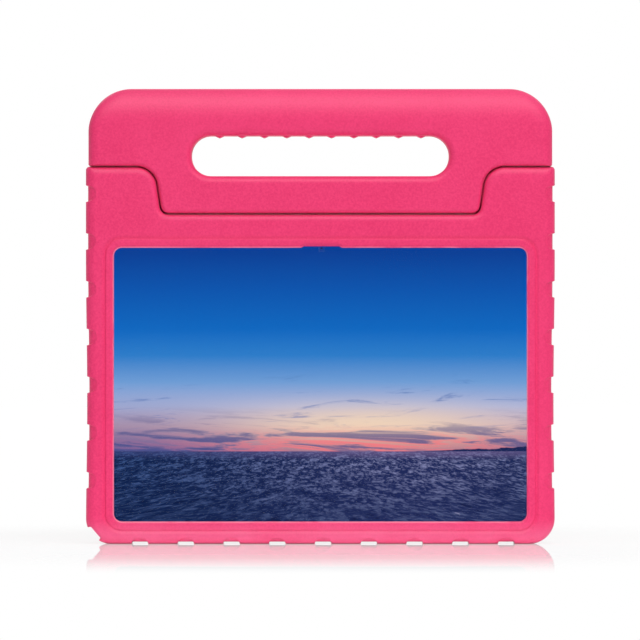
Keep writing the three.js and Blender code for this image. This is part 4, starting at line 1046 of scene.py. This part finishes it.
handle = handle_body()
trim, ends, bores = knuckle_tools()
cut(handle, [trim])
cut(handle, ends, "UNION")
cut(handle, bores)
dress(shade(handle), foam)
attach(handle, "handle")
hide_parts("handle")

for node, body, z, length in [("power_button", "power_key", 162.0, 10.0),
                              ("volume_up_button", "volume_up_key", 138.4, 6.8),
                              ("volume_down_button", "volume_down_key", 130.2, 6.8)]:
    key = dress(shade(key_body(f"{body}_cap", z, length), 40), dark_plastic)
    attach(key, body)
    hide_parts(node)
rear_profile = lens_profile(front=-0.35, back=-3.7, body=4.2, rim=2.9, glass=1.9)
rear_lens = outward(turned("rear_camera_lens", rear_profile, *REAR_CAMERA))
for node, lens, material in [("rear_camera", rear_lens, lens_finish("rear_lens_glass")),
                             ("front_camera", front_camera_body(), front_camera_finish())]:
    dress(shade(lens, 40), material)
    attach(lens, "case")
    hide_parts(node)

looks = {
    "hinge_pin_left": pin_plastic, "hinge_pin_right": pin_plastic,
    "hinge_bush_left": bush_plastic, "hinge_bush_right": bush_plastic,
    "tablet_housing": dark_plastic, "tablet_glass": glass_finish(), "display_panel": screen_finish(),
    "mid_frame": plate,
    "battery": wrap_finish(), "main_board": board_finish(), "key_strip": board_finish(),
    "speaker_left": speaker_plastic, "speaker_right": speaker_plastic, "charge_port": steel,
    **{f"board_screw_{i}": steel for i in (1, 2, 3, 4)},
}
for node, material in looks.items():
    dress(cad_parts[node], material)


# Stage

def floor_finish():
    """Polished white floor: plain white with a pale shadow, and a mirror image close in front of the object.

    The mirror image is 0.52 strong where the object stands and fades out from 13 to 46 cm in front of it.
    """
    f = Finish("white_floor")
    x, y, _ = f.split(f.spot())
    away = f.step((x * x + y * y) ** 0.5, 0.2, 0.42)
    grain = f.noise(f.spot(), 40.0, 2.0)
    body = f.surface(Base_Color=(0.93, 0.93, 0.93), Roughness=0.7 + grain * 0.05, Specular_IOR_Level=0.1)
    white = f.add("ShaderNodeEmission", values={"Color": WHITE, "Strength": 1.0})
    share = f.seen("Camera", "Glossy", "Transmission") * (0.66 + 0.34 * away)
    ground = f.add("ShaderNodeMixShader", values={0: share, 1: body, 2: white})
    image = f.add("ShaderNodeBsdfGlossy", values={"Color": WHITE, "Roughness": 0.02})
    strength = 0.52 * (1 - f.step(-y, 0.13, 0.46))
    return f.done(f.add("ShaderNodeMixShader", values={0: strength, 1: ground, 2: image}))


def stage_floor():
    """Flat square floor at the ground line, 12 m wide, as 12 x 12 squares."""
    squares = 12
    line = squares + 1
    step = np.linspace(-6000, 6000, line)
    x, y = np.meshgrid(step, step)
    verts = np.stack([x, y, np.zeros_like(x)], 2).reshape(-1, 3)
    row = np.arange(squares)
    corner = (row[:, None] * line + row[None]).ravel()
    faces = np.stack([corner, corner + 1, corner + line + 1, corner + line], 1)
    floor = make_object("stage_floor", verts, faces.tolist())
    dress(floor, floor_finish())


def lamp(name, place, target, size, power, diffuse=True, glossy=True):
    """Soft oblong lamp that points at the target, for diffuse light, for highlights or for both."""
    light = bpy.data.lights.new(name, "AREA")
    light.shape, light.size, light.size_y = "RECTANGLE", size[0], size[1]
    light.energy = power
    obj = bpy.data.objects.new(name, light)
    bpy.context.scene.collection.objects.link(obj)
    obj.location = place
    obj.rotation_euler = (Vector(target) - Vector(place)).to_track_quat("-Z", "Y").to_euler()
    obj.visible_diffuse, obj.visible_glossy = diffuse, glossy


def room():
    """White surroundings for the eye and for mirror images, and a plain soft light from all round."""
    world = bpy.data.worlds.new("room")
    bpy.context.scene.world = world
    sky = Nodes(world)
    soft = sky.add("ShaderNodeBackground", values={"Color": WHITE, "Strength": 0.27})
    white = sky.add("ShaderNodeBackground", values={"Color": WHITE, "Strength": 1.0})
    shown = sky.add("ShaderNodeMixShader", values={0: sky.seen("Camera", "Glossy", "Transmission"),
                                                 1: soft, 2: white})
    sky.add("ShaderNodeOutputWorld", values={"Surface": shown})


def camera():
    """Level camera straight in front; the picture's width covers 372 mm at the shell's front face."""
    data = bpy.data.cameras.new("camera")
    data.lens, data.sensor_width = 360.0, 36.0
    obj = bpy.data.objects.new("camera", data)
    bpy.context.scene.collection.objects.link(obj)
    distance = 0.372 * data.lens / data.sensor_width
    obj.location = (-0.0002, FRONT * MM - distance, 0.1303)
    obj.rotation_euler = (math.pi / 2, 0.0, 0.0)
    data.clip_start, data.clip_end = 0.05, 50.0
    bpy.context.scene.camera = obj


stage_floor()
room()
camera()
lamp("top_light", (0.1, -0.25, 1.3), (0.0, 0.0, 0.15), (1.4, 1.0), 5.0)
lamp("highlight", (0.1, -0.9, 1.3), (0.0, 0.0, 0.2), (1.4, 0.7), 20.0, diffuse=False)
lamp("front_light", (0.45, -1.5, 1.5), (0.0, 0.0, 0.13), (1.6, 0.9), 21.8, glossy=False)
lamp("back_light", (-0.5, 1.8, 1.1), (0.0, 0.0, 0.13), (1.6, 1.0), 10.0, glossy=False)
bpy.context.scene.view_settings.view_transform = "Standard"
